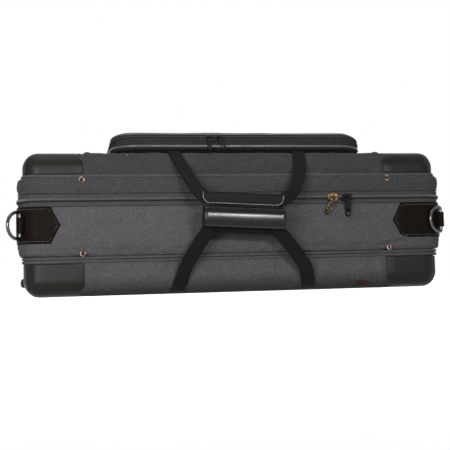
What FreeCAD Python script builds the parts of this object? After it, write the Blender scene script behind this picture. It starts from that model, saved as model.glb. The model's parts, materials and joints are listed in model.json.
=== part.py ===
import FreeCAD, Part
import math
import os

# Padded soft-shell case for two trumpets, lying on the broad face of its tray.
# Millimetres. X runs along the case, the handle side faces -Y, the lid is on top.
# The origin is the middle of the flat face that the tray rests on.

Vector = FreeCAD.Vector
UP = Vector(0, 0, 1)
os.makedirs("parts", exist_ok=True)

# Clearances
seat_gap = 0.3            # between a piece and its neighbour of another body or material
pin_gap = 0.35            # between a pin and the eye that turns on it
touch_gap = 0.1           # between a rivet or foot and the padding under it
past = 5.0                # how far a cutting block reaches past what it cuts
flat_limit = 1e-6         # a loop of four corners that is bent by more gets two faces
bend_steps = 5            # straight pieces of a bead or wire in a quarter bend
shell_facets = 6          # flat facets in a quarter bend of the case's outside
inner_facets = 3          # and of the faces between guards and padding

# Outline of the case
shell_length = 556.0      # nylon shell, end to end
shell_depth = 283.0       # nylon shell, front to back
case_height = 187.0       # broad face to broad face, without the pocket
parting_height = 123.0    # where the zip runs
shell_round = 19.0        # of the upright corners and of the edges of the broad faces
band_proud = 8.5          # how far the middle band stands out from the shell
band_corner_radius = 28.0
tray_seam_height = 51.5   # lower edge of the tray's band
lid_shell = 34.5          # nylon shell of the lid, above the lid's band
piping_radius = 2.1
piping_sides = 6

# Plywood box
ply = 6.0                 # thickness of walls, floor and top
cover_padding = 4.0       # nylon and foam over the plywood, on the sides
cover_floor = 4.7         # nylon and foam over the plywood, on the broad faces
ply_corner_radius = 15.0
ply_chamfer = 5.8
wall_rim_drop = 2.0       # plywood edge below and above the parting line

# Lining and fitted blocks
lining = 5.0              # plush over foam on the walls
floor_lining = 5.7
lid_lining = 7.7
lining_rim_drop = 2.0     # lining's edge below or above the plywood's
lining_corner_radius = 5.0
block_height = 63.0
horn_spacing = 120.0      # between the axes of the two horns
bell_axis_height = 104.0
bell_radius = 63.5
bell_end_room = 34.7      # from the end lining to the bell's rim
flare_start = 20.6        # the bell narrows as flare_start / (flare_start + way back from the rim)
flare_power = 0.7
flare_steps = 4           # conical cuts that follow the flare
end_block_length = 144.4
middle_block_length = 140.0
slot_width = 24.0
slot_floor = 6.0          # foam left under the slot
tail_room = 56.7          # from the end lining to the slot that takes the tubes
bow_reach = 18.0          # of the bow beside the bell, into the end block
well_length = 112.0
well_width = 50.0
well_shift = 6.0          # of each well from the middle, towards its horn's bell
mouthpiece_block_width = 66.0
mouthpiece_block_height = 58.0
mouthpiece_floor = 8.0
mouthpiece_hole_top = 13.8
mouthpiece_hole_bottom = 6.0
mouthpiece_spacing = 32.0

# Corner guards
guard_length = 75.0       # along each side, from the corner of the shell
guard_bulge = 2.5
guard_wall = 2.4
guard_plate = 1.5         # thickness on the broad face
guard_drop = 0.6          # from a seam's piping to the guards' edge
guard_plan_radius = 60.0

# Rivets and feet
rivet_inset = 2.0         # from the guard's inner edge
rivet_level = 3.0         # from the band's edge
rivet_radius = 3.8
rivet_dome = 1.8
foot_radius = 6.0
foot_height = 5.0
foot_level = 19.0
foot_inset = 42.0         # from the shell's front or back

# Zip
zip_tape_height = 7.2
zip_tape = 1.2
zip_step = 1.5            # how far the band steps back under the tape
coil_height = 3.0
coil_depth = 2.5
zip_back_end = 100.0      # where the zip stops on the end walls, towards the hinge
slider_length = 13.0
slider_plate = 2.3
slider_height = 11.0
slider_nose = 0.62        # height of the slider's narrow end, as a share
slider_tail = 0.8         # and of its wide end
slider_crest = 0.3        # where it is highest, towards the narrow end, as a share
slider_lip = 1.5
left_slider_position = 127.0
right_slider_position = 146.5
bridge_radius = 0.9
bridge_length = 7.0
bridge_leg = 1.1
bridge_stand = 2.6        # bridge axis in front of the slider's plate
pull_knuckle = 0.8        # wall round the bridge
pull_shoulder = 1.6       # where the tab reaches its full width, below the knuckle
pull_corner = 1.5
pull_eye_drop = 2.6       # eye's middle from the tab's end
pull_pane_edge = 1.1      # rim round the windows of a ladder-like tab
pull_width = 7.0
pull_plate = 1.4
left_pull_length = 19.0
left_pull_slant = 27.0
right_pull_length = 20.0
pull_ring_radius = 4.2
pull_ring_wire = 0.8
pull_ring_sides = 6
pull_ring_steps = 3       # straight pieces in a quarter of the ring
pull_eye_radius = 1.6
pull_ring_turn = 35.0

# Fabric hinge at the back
hinge_leaf = 1.2
hinge_half_length = 235.0

# Patches and carrying rings
patch_height = 47.0
patch_rise = 4.4          # above the middle of the tray's band
left_patch_reach = 54.0   # from the band's end to the patch's point
right_patch_reach = 75.0
patch_point = 12.0        # from the point to the ends of the straight sides
patch_leather = 1.6
patch_back_reach = 30.0   # along the end wall, behind the corner
ring_wire = 2.2
ring_sides = 8
ring_height = 38.0
ring_leg = 5.0
keeper_wall = 2.0
keeper_height = 20.0
keeper_foot = 0.9         # half width of the keeper's foot, as a share of its radius
left_ring_turn = -130.0   # where each ring points, seen from above
right_ring_turn = -153.0

# Handle
grip_middle = -3.0
strap_width = 15.0
strap_thickness = 3.4
upper_ends = (-84.5, 86.5)  # where the lid's and the tray's anchors lie along the case
lower_ends = (-86.0, 95.0)
grip_length = 104.0
grip_stand = 48.5         # grip axis in front of the shell
grip_tilt = 3.0
flap_bottom = 112.5
flap_top = 131.0
flap_thickness = 9.0
flap_corner_radius = 9.0
roll_height = 28.4
roll_depth = 30.0
roll_middle = 94.6
roll_bow = 0.7            # height of the roll's section at its fullest diagonal, as a share
roll_ease = 2.2           # how far the roll's ends are drawn in
upper_leave_angle = 48.0  # where the strap leaves the lid's edge, from straight up
lower_leave_angle = 62.0  # where the strap leaves the tray's edge, from straight down
upper_middle_half = 46.0  # half of the straight stretch of webbing inside the flap
lower_middle_half = 34.0  # and inside the roll
anchor_flat = 11.0
lower_anchor_flat = 26.0
anchor_stop = 2.0         # between an anchor's end and the loop's round end

# Pocket on the lid
pocket_length = 350.0
pocket_depth = 212.0
pocket_shift = 11.0       # of its middle from the case's middle
pocket_setback = 25.0     # from the shell's front to the pocket's front
pocket_corner_radius = 35.0
pocket_foot_height = 6.7
pocket_foot_inset = 6.0
pocket_wall = 3.0
pocket_gusset_top = 21.2  # above the lid
pocket_cover_bottom = 22.0
pocket_height = 30.0
pocket_cover_wall = 2.6
pocket_edge = 3.6         # chamfer round the cover's top
pocket_piping = 2.2
pocket_piping_level = 10.5
pocket_bead = 1.3
pocket_bead_sides = 4
left_pocket_slider = -33.0
right_pocket_slider = -19.5
pocket_slider_length = 9.0
pocket_slider_height = 9.0
pocket_pull_length = 17.0
pocket_pull_width = 5.0
pocket_pull_slant = 28.0
pocket_pull_windows = 4

# Lid stays
stay_width = 24.0
stay_thickness = 1.6
stay_depth = -20.0
stay_drop = 26.0          # below the parting line
stay_rise = 24.0

# Loop tab at the front lower edge
tab_position = 169.0
tab_width = 14.0
tab_leather = 1.6
tab_angles = (84.0, 66.0, 48.0)  # round the edge, from straight down
tab_lift = 3.2            # how far its free end hangs below and before the edge

# Sizes worked out from the ones above
lid_seam_height = case_height - lid_shell
half_length = shell_length / 2
half_depth = shell_depth / 2
ply_half_length = half_length - cover_padding
ply_half_depth = half_depth - cover_padding
band_half_length = half_length + band_proud
band_half_depth = half_depth + band_proud
room_half_length = ply_half_length - ply
room_half_depth = ply_half_depth - ply
lining_half_length = room_half_length - seat_gap - lining
lining_half_depth = room_half_depth - seat_gap - lining
floor_bottom = cover_floor + seat_gap
floor_top = floor_bottom + ply
lining_top_of_floor = floor_top + seat_gap + floor_lining
block_bottom = lining_top_of_floor + seat_gap
block_top = block_bottom + block_height
block_half_length = lining_half_length - seat_gap
block_half_depth = lining_half_depth - seat_gap
block_inner_end = block_half_length - end_block_length
horn_axis = horn_spacing / 2
lid_inner_top = case_height - cover_floor - seat_gap - ply
patch_middle = (tray_seam_height + parting_height) / 2 + patch_rise
tray_rim = parting_height - seat_gap
tray_bead_levels = [tray_seam_height - seat_gap - piping_radius]
tray_bead_levels.append(tray_bead_levels[0] - 2 * piping_radius - touch_gap)
lid_bead_level = lid_seam_height + seat_gap + piping_radius
tray_guard_height = tray_bead_levels[-1] - piping_radius - guard_drop
lid_guard_height = case_height - lid_bead_level - piping_radius - guard_drop
step_half_length = band_half_length - zip_step
step_half_depth = band_half_depth - zip_step


def prism(half_x, half_y, radius, low, high, place=Vector(0, 0, 0)):
    """Upright block whose plan is a rounded rectangle."""
    a = half_x - radius
    b = half_y - radius
    s = radius * math.sqrt(0.5)
    lines = []
    corners = [(a, -b, 1, -1), (a, b, 1, 1), (-a, b, -1, 1), (-a, -b, -1, -1)]
    starts = []
    ends = []
    for cx, cy, sx, sy in corners:
        along_x = Vector(cx, cy + sy * radius, low)
        along_y = Vector(cx + sx * radius, cy, low)
        first, last = (along_x, along_y) if sx * sy < 0 else (along_y, along_x)
        middle = Vector(cx + sx * s, cy + sy * s, low)
        starts.append(first)
        ends.append(last)
        lines.append(Part.Arc(first, middle, last).toShape())
    for index in range(4):
        begin = ends[index]
        finish = starts[(index + 1) % 4]
        lines.append(Part.LineSegment(begin, finish).toShape())
    wire = Part.Wire(Part.__sortEdges__(lines))
    solid = Part.Face(wire).extrude(Vector(0, 0, high - low))
    solid.translate(place)
    return solid


def edges_at(shape, level):
    """Edges that lie in one horizontal plane."""
    found = []
    for edge in shape.Edges:
        box = edge.BoundBox
        if abs(box.ZMin - level) < 1e-4 and abs(box.ZMax - level) < 1e-4:
            found.append(edge)
    return found


def box(x0, x1, y0, y1, z0, z1):
    """Plain block between two corners."""
    return Part.makeBox(x1 - x0, y1 - y0, z1 - z0, Vector(x0, y0, z0))


def plan_block(points, low, high):
    """Upright block over a polygon."""
    loop = [Vector(x, y, low) for x, y in points]
    face = Part.Face(Part.makePolygon(loop + [loop[0]]))
    return face.extrude(Vector(0, 0, high - low))


def upside_down(shape):
    """The same form hung from the lid's broad face."""
    middle = Vector(0, 0, case_height / 2)
    return shape.mirror(middle, UP)


def save(name, shape):
    """Write one node after checking its solids."""
    solids = shape.Solids
    assert solids, name
    for solid in solids:
        assert solid.isValid() and solid.Volume > 0, name
    shape = solids[0] if len(solids) == 1 else Part.makeCompound(solids)
    shape.exportStep("parts/" + name + ".step")


def corner_regions(low, high):
    """The four places that a moulded guard covers, by name."""
    inner_x = half_length - guard_length
    inner_y = half_depth - guard_length
    far_x = band_half_length + past
    far_y = band_half_depth + past
    centre = Vector(inner_x + guard_plan_radius, inner_y + guard_plan_radius, 0)
    loop = arc_points(centre, Vector(-1, 0, 0), Vector(0, -1, 0), guard_plan_radius, bend_steps)
    loop += [Vector(far_x, inner_y, 0), Vector(far_x, far_y, 0), Vector(inner_x, far_y, 0)]
    block = plan_block([(point.x, point.y) for point in loop], low, high)
    origin = Vector(0, 0, 0)
    right = {"back_right": block, "front_right": block.mirror(origin, Vector(0, 1, 0))}
    regions = dict(right)
    for name, shape in right.items():
        regions[name.replace("right", "left")] = shape.mirror(origin, Vector(1, 0, 0))
    return regions


def quarter_corners(facets):
    """Corners round a unit quarter bend, from its start, of flat facets that touch the bend."""
    half = math.pi / 4 / facets
    corners = []
    for index in range(facets):
        angle = half * (2 * index + 1)
        corners.append((math.sin(angle) / math.cos(half), math.cos(angle) / math.cos(half)))
    return corners


def rounded_shell(grow, bottom, top, facets):
    """Shell block whose upright corners and lower edges have one round, made of facets."""
    radius = shell_round + grow
    x = half_length - shell_round
    y = half_depth - shell_round
    quarter = quarter_corners(facets)
    levels = [(share, bottom + radius * (1 - drop)) for share, drop in quarter]
    rings = []
    for share, level in levels + [(1.0, top)]:
        reach = radius * share
        ring = []
        for sx, sy in ((1, -1), (1, 1), (-1, 1), (-1, -1)):
            for out_x, out_y in quarter if sx * sy < 0 else reversed(quarter):
                ring.append(Vector(sx * (x + reach * out_x), sy * (y + reach * out_y), level))
        rings.append(ring)
    return stacked(rings)


def covered_shell(top, guard_top):
    """Padded nylon over one half of the plywood box, pressed in under the guards."""
    full = rounded_shell(0.0, 0.0, top, shell_facets)
    pressed = rounded_shell(guard_bulge - guard_wall - seat_gap, guard_plate + seat_gap, top,
                            inner_facets)
    cover = full
    for region in corner_regions(-1.0, guard_top + seat_gap).values():
        cover = cover.cut(region.cut(pressed))
    room = prism(ply_half_length + seat_gap, ply_half_depth + seat_gap,
                 ply_corner_radius + seat_gap, cover_floor, top + 1)
    room = room.makeChamfer(ply_chamfer, edges_at(room, cover_floor))
    return cover.cut(room)


def guards(guard_top):
    """Four moulded corner guards, thin shells over three faces of each corner."""
    outer = rounded_shell(guard_bulge, 0.0, guard_top, shell_facets)
    inner = rounded_shell(guard_bulge - guard_wall, guard_plate, guard_top + past, inner_facets)
    skin = outer.cut(inner)
    regions = corner_regions(-1.0, guard_top + 1).values()
    return Part.makeCompound([skin.common(region) for region in regions])


def ply_walls(low, high):
    """Bent plywood ring, mitred through its corners into four walls."""
    outer = prism(ply_half_length, ply_half_depth, ply_corner_radius, low, high)
    inner = prism(room_half_length, room_half_depth, ply_corner_radius - ply, low, high)
    ring = outer.cut(inner)
    cx = ply_half_length - ply_corner_radius
    cy = ply_half_depth - ply_corner_radius
    reach_out = ply_corner_radius + past
    reach_in = cy
    far = [(-cx - reach_out, -cy - reach_out), (cx + reach_out, -cy - reach_out)]
    near = [(cx - reach_in, -cy + reach_in), (-cx + reach_in, -cy + reach_in)]
    front = far + near
    left = [far[0], near[1], (near[1][0], -near[1][1]), (far[0][0], -far[0][1])]
    plans = {"front": front, "back": [(x, -y) for x, y in front]}
    plans["left"] = left
    plans["right"] = [(-x, y) for x, y in left]
    walls = {}
    for name, plan in plans.items():
        walls[name] = ring.common(plan_block(plan, low - 1, high + 1))
    return walls


def ply_sheet(low):
    """Floor or top sheet with a chamfered lower edge."""
    sheet = prism(ply_half_length, ply_half_depth, ply_corner_radius, low, low + ply)
    return sheet.makeChamfer(ply_chamfer, edges_at(sheet, low))


def band(low, high):
    """Padded nylon band round one half, stepped back under the zip at the parting line."""
    ring = prism(band_half_length, band_half_depth, band_corner_radius, low, high)
    room = prism(ply_half_length + seat_gap, ply_half_depth + seat_gap,
                 ply_corner_radius + seat_gap, low, high)
    step_low = tray_rim - zip_tape_height - seat_gap
    step_block = prism(band_half_length + past, band_half_depth + past,
                       band_corner_radius + past, step_low, high)
    step_core = prism(step_half_length - seat_gap, step_half_depth - seat_gap,
                      band_corner_radius - zip_step - seat_gap, step_low, high)
    return ring.cut(step_block.cut(step_core)).cut(room)


def stacked(rings, closed=False):
    """Solid with flat sides through rings that have as many points."""
    faces = []
    follow = rings[1:] + ([rings[0]] if closed else [])
    for low, high in zip(rings, follow):
        for index, point in enumerate(low):
            beside = (index + 1) % len(low)
            loop = [point, low[beside], high[beside], high[index]]
            twist = (loop[1] - point).cross(loop[2] - point).dot(loop[3] - point)
            loops = [loop]
            if abs(twist) > flat_limit:
                loops = [loop[:3], [loop[0], loop[2], loop[3]]]
            faces += [Part.Face(Part.makePolygon(part + [part[0]])) for part in loops]
    if not closed:
        for ring in (rings[0], rings[-1]):
            faces.append(Part.Face(Part.makePolygon(ring + [ring[0]])))
    solid = Part.makeSolid(Part.makeShell(faces))
    if solid.Volume < 0:
        solid.reverse()
    return solid


def wire_form(path, square, radius, sides, closed=False):
    """Wire with flat sides along a path that lies in one plane; square is that plane's normal."""
    rings = []
    count = len(path)
    for index, point in enumerate(path):
        after = path[(index + 1) % count] if closed or index < count - 1 else point
        before = path[index - 1] if closed or index > 0 else point
        arriving = point - before if before != point else after - point
        leaving = after - point if after != point else point - before
        outs = [arriving.normalize().cross(square), leaving.normalize().cross(square)]
        out = (outs[0] + outs[1]).normalize()
        mitre = out.dot(outs[0])
        ring = []
        for corner in range(sides):
            angle = 2 * math.pi * corner / sides
            ring.append(point + out * (radius * math.cos(angle) / mitre)
                        + square * (radius * math.sin(angle)))
        rings.append(ring)
    return stacked(rings, closed)


def arc_points(centre, first, second, radius, steps):
    """Points from one direction to another, square to it, on a quarter circle."""
    points = []
    for step in range(steps + 1):
        angle = math.pi / 2 * step / steps
        points.append(centre + first * (radius * math.cos(angle)) + second * (radius * math.sin(angle)))
    return points


def level_path(half_x, half_y, radius, level):
    """Points round a rounded rectangle."""
    a = half_x - radius
    b = half_y - radius
    along_x = Vector(1, 0, 0)
    along_y = Vector(0, 1, 0)
    corners = [(a, -b, -along_y, along_x), (a, b, along_x, along_y)]
    corners += [(-a, b, along_y, -along_x), (-a, -b, -along_x, -along_y)]
    path = []
    for cx, cy, first, second in corners:
        path += arc_points(Vector(cx, cy, level), first, second, radius, bend_steps)
    return path


def ring_bead(half_x, half_y, radius, level, wire_radius, sides, place=Vector(0, 0, 0)):
    """Bead that follows a rounded rectangle."""
    path = [point + place for point in level_path(half_x, half_y, radius, level)]
    return wire_form(path, UP, wire_radius, sides, True)


def zip_half(low, high, coil_low, coil_high):
    """Tape and coil on the front and both ends, for one side of the zip."""
    tape = prism(step_half_length + zip_tape - seat_gap, step_half_depth + zip_tape - seat_gap,
                 band_corner_radius - zip_step + zip_tape - seat_gap, low, high)
    core = prism(step_half_length - seat_gap, step_half_depth - seat_gap,
                 band_corner_radius - zip_step - seat_gap, low, high)
    coil_grow = zip_tape - seat_gap + coil_depth
    coil = prism(step_half_length + coil_grow, step_half_depth + coil_grow,
                 band_corner_radius - zip_step + coil_grow, coil_low, coil_high)
    strip = tape.fuse(coil).cut(core)
    far = band_half_length + past
    back = box(-far, far, zip_back_end, band_half_depth + past, low - 1, high + 1)
    return strip.cut(back).removeSplitter()


def hinge_half(low, high):
    """Leaf of the fabric hinge in the step at the back."""
    return box(-hinge_half_length, hinge_half_length, step_half_depth - seat_gap,
               step_half_depth - seat_gap + hinge_leaf, low, high)


def polygon_ring(radius, level):
    """Twelve points on a level circle about the Z axis."""
    points = []
    for corner in range(12):
        angle = math.radians(30 * corner)
        points.append(Vector(radius * math.cos(angle), radius * math.sin(angle), level))
    return points


def head(base, outward, radius, height):
    """Faceted dome on a flat base, standing along a direction."""
    shares = ((1.0, 0.0), (0.8, 0.6), (0.4, 1.0))
    shape = stacked([polygon_ring(radius * wide, height * tall) for wide, tall in shares])
    shape.Placement = FreeCAD.Placement(base, FreeCAD.Rotation(UP, outward))
    return shape


def section(centre, along, outward, width, thickness):
    """Corners of a rectangle across a strap."""
    along = Vector(along).normalize()
    face_normal = (outward - along * outward.dot(along)).normalize()
    across = along.cross(face_normal)
    half_w = across * (width / 2)
    half_t = face_normal * (thickness / 2)
    loop = [centre + half_w + half_t, centre - half_w + half_t]
    loop += [centre - half_w - half_t, centre + half_w - half_t]
    return loop


def strap(points, outwards, width, thickness):
    """Flat webbing through a list of points, its broad side facing outwards."""
    loops = []
    last = len(points) - 1
    for index, point in enumerate(points):
        before = points[max(index - 1, 0)]
        after = points[min(index + 1, last)]
        loops.append(section(point, after - before, outwards[index], width, thickness))
    return stacked(loops)


# Plywood box
walls_low = ply_walls(floor_top, parting_height - wall_rim_drop)
walls_high = ply_walls(parting_height + wall_rim_drop, lid_inner_top)
for side, wall in walls_low.items():
    save("tray_" + side + "_wall", wall)
for side, wall in walls_high.items():
    save("lid_" + side + "_wall", wall)
save("tray_floor", ply_sheet(floor_bottom))
save("lid_top_panel", upside_down(ply_sheet(floor_bottom)))

# Guards
save("tray_guards", guards(tray_guard_height))
save("lid_guards", upside_down(guards(lid_guard_height)))

# Seam pipings
tray_beads = []
bead_half_length = half_length + piping_radius + seat_gap
bead_half_depth = half_depth + piping_radius + seat_gap
bead_corner = shell_round + seat_gap  # tight, so that its straight pieces clear the padding
for level in tray_bead_levels:
    tray_beads.append(ring_bead(bead_half_length, bead_half_depth, bead_corner, level,
                                piping_radius, piping_sides))
save("tray_seam_piping", Part.makeCompound(tray_beads))
save("lid_seam_piping", ring_bead(bead_half_length, bead_half_depth, bead_corner,
                                  lid_bead_level, piping_radius, piping_sides))

# Bands
save("tray_band", band(tray_seam_height, tray_rim))
lid_band = band(2 * parting_height - lid_seam_height, tray_rim)
save("lid_band", lid_band.mirror(Vector(0, 0, parting_height), UP))

# Zip halves and hinge leaves
tray_zip = zip_half(tray_rim - zip_tape_height, tray_rim, tray_rim - coil_height, tray_rim)
save("tray_zip_half", tray_zip)
save("lid_zip_half", tray_zip.mirror(Vector(0, 0, parting_height), UP))
tray_leaf = hinge_half(tray_rim - zip_tape_height, tray_rim)
save("tray_hinge_leaf", tray_leaf)
save("lid_hinge_leaf", tray_leaf.mirror(Vector(0, 0, parting_height), UP))

# Rivets through the seams, beside the guards' inner edges
rivet_position = half_length - guard_length + rivet_inset
for name, level in (("tray_rivets", tray_seam_height + rivet_level),
                    ("lid_rivets", lid_seam_height - rivet_level)):
    heads = []
    for x in (-rivet_position, rivet_position):
        for y in (-1, 1):
            base = Vector(x, y * (band_half_depth + touch_gap), level)
            heads.append(head(base, Vector(0, y, 0), rivet_radius, rivet_dome))
    save(name, Part.makeCompound(heads))

# Rubber feet on the left end
feet = []
for y in (-1, 1):
    base = Vector(-half_length - guard_bulge - touch_gap, y * (half_depth - foot_inset),
                  foot_level)
    feet.append(head(base, Vector(-1, 0, 0), foot_radius, foot_height))
save("end_feet", Part.makeCompound(feet))

# Linings
tray_lining_block = prism(room_half_length - seat_gap, room_half_depth - seat_gap,
                          ply_corner_radius - ply - seat_gap, floor_top + seat_gap,
                          parting_height - wall_rim_drop - lining_rim_drop)
tray_lining_room = prism(lining_half_length, lining_half_depth, lining_corner_radius,
                         lining_top_of_floor, parting_height)
save("tray_lining", tray_lining_block.cut(tray_lining_room))
lid_lining_block = prism(room_half_length - seat_gap, room_half_depth - seat_gap,
                         ply_corner_radius - ply - seat_gap,
                         parting_height + wall_rim_drop + lining_rim_drop,
                         lid_inner_top - seat_gap)
lid_lining_room = prism(lining_half_length, lining_half_depth, lining_corner_radius,
                        parting_height, lid_inner_top - seat_gap - lid_lining)
save("lid_lining", lid_lining_block.cut(lid_lining_room))


def bell_hollow():
    """Space that a bell and its throat need, turned about the horn's axis."""
    rim = lining_half_length - bell_end_room
    end = lining_half_length + past
    inner = block_inner_end - past
    points = [Vector(inner, 0, 0), Vector(end, 0, 0), Vector(end, 0, bell_radius)]
    for step in range(flare_steps + 1):
        back = (rim - inner) * (step / flare_steps) ** 2
        narrow = (flare_start / (flare_start + back)) ** flare_power
        points.append(Vector(rim - back, 0, bell_radius * narrow))
    face = Part.Face(Part.makePolygon(points + [points[0]]))
    turned = face.revolve(Vector(0, 0, 0), Vector(1, 0, 0), 360)
    turned.translate(Vector(0, horn_axis, bell_axis_height))
    return turned


def rounded_slot(x0, x1, y, width, low, high):
    """Upright slot with round ends."""
    r = width / 2
    slot = box(x0 + r, x1 - r, y - r, y + r, low, high)
    for x in (x0 + r, x1 - r):
        slot = slot.fuse(Part.makeCylinder(r, high - low, Vector(x, y, low)))
    return slot.removeSplitter()


def end_block():
    """Right end block: bell cradle at the back, slot for the other horn's tubes in front."""
    block = prism(block_half_length, block_half_depth, lining_corner_radius, block_bottom,
                  block_top)
    block = block.cut(box(-block_half_length - past, block_inner_end, -block_half_depth - past,
                          block_half_depth + past, block_bottom - past, block_top + past))
    block = block.cut(bell_hollow())
    low = block_bottom + slot_floor
    high = block_top + past
    tail = lining_half_length - tail_room
    block = block.cut(rounded_slot(0, block_inner_end + bow_reach, horn_axis, slot_width, low, high))
    block = block.cut(rounded_slot(0, tail, -horn_axis, slot_width, low, high))
    return block


right_block = end_block()
save("right_horn_block", right_block)
left_block = right_block.copy()
left_block.rotate(Vector(0, 0, 0), UP, 180)
save("left_horn_block", left_block)

# Middle block with two valve wells
half_middle = middle_block_length / 2
middle = box(-half_middle, half_middle, -block_half_depth, block_half_depth, block_bottom,
             block_top)
for side in (-1, 1):
    well = -side * well_shift
    axis = side * horn_axis
    middle = middle.cut(rounded_slot(well - well_length / 2, well + well_length / 2, axis,
                                     well_width, block_bottom - past, block_top + past))
    middle = middle.cut(box(-half_middle - past, half_middle + past, axis - slot_width / 2,
                            axis + slot_width / 2, block_bottom + slot_floor, block_top + past))
save("middle_horn_block", middle)



def tapered_hole(x, y, top, depth):
    """Twelve-sided hole that narrows downwards, as a knife cuts it in foam."""
    rings = [polygon_ring(mouthpiece_hole_bottom, top - depth),
             polygon_ring(mouthpiece_hole_top, top)]
    hole = stacked(rings)
    hole.translate(Vector(x, y, 0))
    return hole


# Mouthpiece holders between the horns
holders = []
holder_middle = (half_middle + block_inner_end) / 2
holder_half_length = (block_inner_end - half_middle) / 2 - seat_gap
for side in (-1, 1):
    x = side * holder_middle
    top = block_bottom + mouthpiece_block_height
    holder = box(x - holder_half_length, x + holder_half_length, -mouthpiece_block_width / 2,
                 mouthpiece_block_width / 2, block_bottom, top)
    for y in (-mouthpiece_spacing / 2, mouthpiece_spacing / 2):
        depth = mouthpiece_block_height - mouthpiece_floor
        holder = holder.cut(tapered_hole(x, y, top, depth))
    holders.append(holder)
save("mouthpiece_blocks", Part.makeCompound(holders))

# Leather patches round the front corners, each with the keeper of its ring
corner_x = band_half_length - band_corner_radius
corner_y = band_half_depth - band_corner_radius
keeper_radius = ring_wire + pin_gap + keeper_wall
pivot_reach = band_corner_radius + seat_gap + patch_leather + keeper_radius
pivot_x = corner_x + pivot_reach * math.sqrt(0.5)
pivot_y = -corner_y - pivot_reach * math.sqrt(0.5)


def ring_patch(reach):
    """Right patch: pentagon on the front, strip on the end, keeper at the corner."""
    low = patch_middle - patch_height / 2
    high = patch_middle + patch_height / 2
    outer = prism(band_half_length + seat_gap + patch_leather,
                  band_half_depth + seat_gap + patch_leather,
                  band_corner_radius + seat_gap + patch_leather, low, high)
    inner = prism(band_half_length + seat_gap, band_half_depth + seat_gap,
                  band_corner_radius + seat_gap, low, high)
    skin = outer.cut(inner)
    far = band_half_length + past
    front = -band_half_depth - past
    tip = band_half_length - reach
    shoulder = tip + patch_point
    loop = [(tip, patch_middle), (shoulder, low), (far, low), (far, high), (shoulder, high)]
    points = [Vector(x, front, z) for x, z in loop]
    window = Part.Face(Part.makePolygon(points + [points[0]]))
    window = window.extrude(Vector(0, -front - corner_y + patch_back_reach, 0))
    skin = skin.common(window)
    pivot = Vector(pivot_x, pivot_y, patch_middle - keeper_height / 2)
    keeper = Part.makeCylinder(keeper_radius, keeper_height, pivot)
    inward = Vector(-1, 1, 0).normalize()
    sideways = Vector(1, 1, 0).normalize()
    half = keeper_radius * keeper_foot
    foot_reach = keeper_radius + patch_leather
    base = [pivot + sideways * half, pivot - sideways * half]
    base += [point + inward * foot_reach for point in reversed(base)]
    foot = Part.Face(Part.makePolygon(base + [base[0]])).extrude(Vector(0, 0, keeper_height))
    band_block = prism(band_half_length + seat_gap, band_half_depth + seat_gap,
                       band_corner_radius + seat_gap, 0, case_height)
    bore = Part.makeCylinder(ring_wire + pin_gap, keeper_height + 2 * past,
                             pivot - Vector(0, 0, past))
    return skin.fuse([keeper, foot.cut(band_block)]).cut(bore).removeSplitter()


save("right_ring_patch", ring_patch(right_patch_reach))
left_patch = ring_patch(left_patch_reach)
save("left_ring_patch", left_patch.mirror(Vector(0, 0, 0), Vector(1, 0, 0)))


def d_ring(x, turn):
    """Wire ring whose straight side is the pivot."""
    bow = ring_height / 2 - ring_wire
    z = patch_middle
    bar = Part.makeCylinder(ring_wire, ring_height, Vector(0, 0, z - ring_height / 2))
    along = Vector(1, 0, 0)
    centre = Vector(ring_leg, 0, z)
    upper = arc_points(centre, UP, along, bow, bend_steps)
    lower = arc_points(centre, along, -UP, bow, bend_steps)
    path = [Vector(0, 0, z + bow)] + upper + lower[1:] + [Vector(0, 0, z - bow)]
    ring = bar.fuse(wire_form(path, Vector(0, 1, 0), ring_wire, ring_sides)).removeSplitter()
    ring.rotate(Vector(0, 0, 0), UP, turn)
    ring.translate(Vector(x, pivot_y, 0))
    return ring


save("left_d_ring", d_ring(-pivot_x, left_ring_turn))
save("right_d_ring", d_ring(pivot_x, right_ring_turn))


# Handle anchors, loops and grips
edge_y = -half_depth + shell_round
lid_edge_z = case_height - shell_round
strap_lift = seat_gap + strap_thickness / 2


def on_lid_edge(angle, x):
    """Middle of a strap that lies on the lid's rounded front edge."""
    r = shell_round + strap_lift
    a = math.radians(angle)
    return Vector(x, edge_y - r * math.sin(a), lid_edge_z + r * math.cos(a))


def on_tray_edge(angle, x):
    """Middle of a strap that rises out of its groove on the tray's front lower edge."""
    sunk = shell_round - seat_gap - strap_thickness / 2
    proud = shell_round + strap_lift
    r = sunk + (proud - sunk) * angle / lower_leave_angle
    a = math.radians(angle)
    return Vector(x, edge_y - r * math.sin(a), shell_round - r * math.cos(a))


def pointing(angle, upwards):
    """Outward direction on a rounded edge."""
    a = math.radians(angle)
    return Vector(0, -math.sin(a), upwards * math.cos(a))


def anchor_angles(leave_angle, hinge_radius):
    """Angles of the sections of an anchor, which stops short of the loop's hinge line."""
    stop = leave_angle - math.degrees((strap_thickness / 2 + anchor_stop) / hinge_radius)
    return [stop * step / 3 for step in range(4)]


def upper_anchor(x):
    angles = anchor_angles(upper_leave_angle, shell_round + strap_lift)
    points = [Vector(x, edge_y + anchor_flat, case_height + strap_lift)]
    points += [on_lid_edge(angle, x) for angle in angles]
    outs = [UP] + [pointing(angle, 1) for angle in angles]
    return strap(points, outs, strap_width, strap_thickness)


def lower_anchor(x, width, thickness, reach):
    angles = anchor_angles(lower_leave_angle, shell_round + strap_lift)
    flat = on_tray_edge(0, x) + Vector(0, reach, 0)
    points = [flat] + [on_tray_edge(angle, x) for angle in angles]
    outs = [Vector(0, 0, -1)] + [pointing(angle, -1) for angle in angles]
    return strap(points, outs, width, thickness)


save("upper_handle_anchors", Part.makeCompound([upper_anchor(x) for x in upper_ends]))
save("lower_handle_anchors", Part.makeCompound(
    [lower_anchor(x, strap_width, strap_thickness, lower_anchor_flat) for x in lower_ends]))

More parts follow.
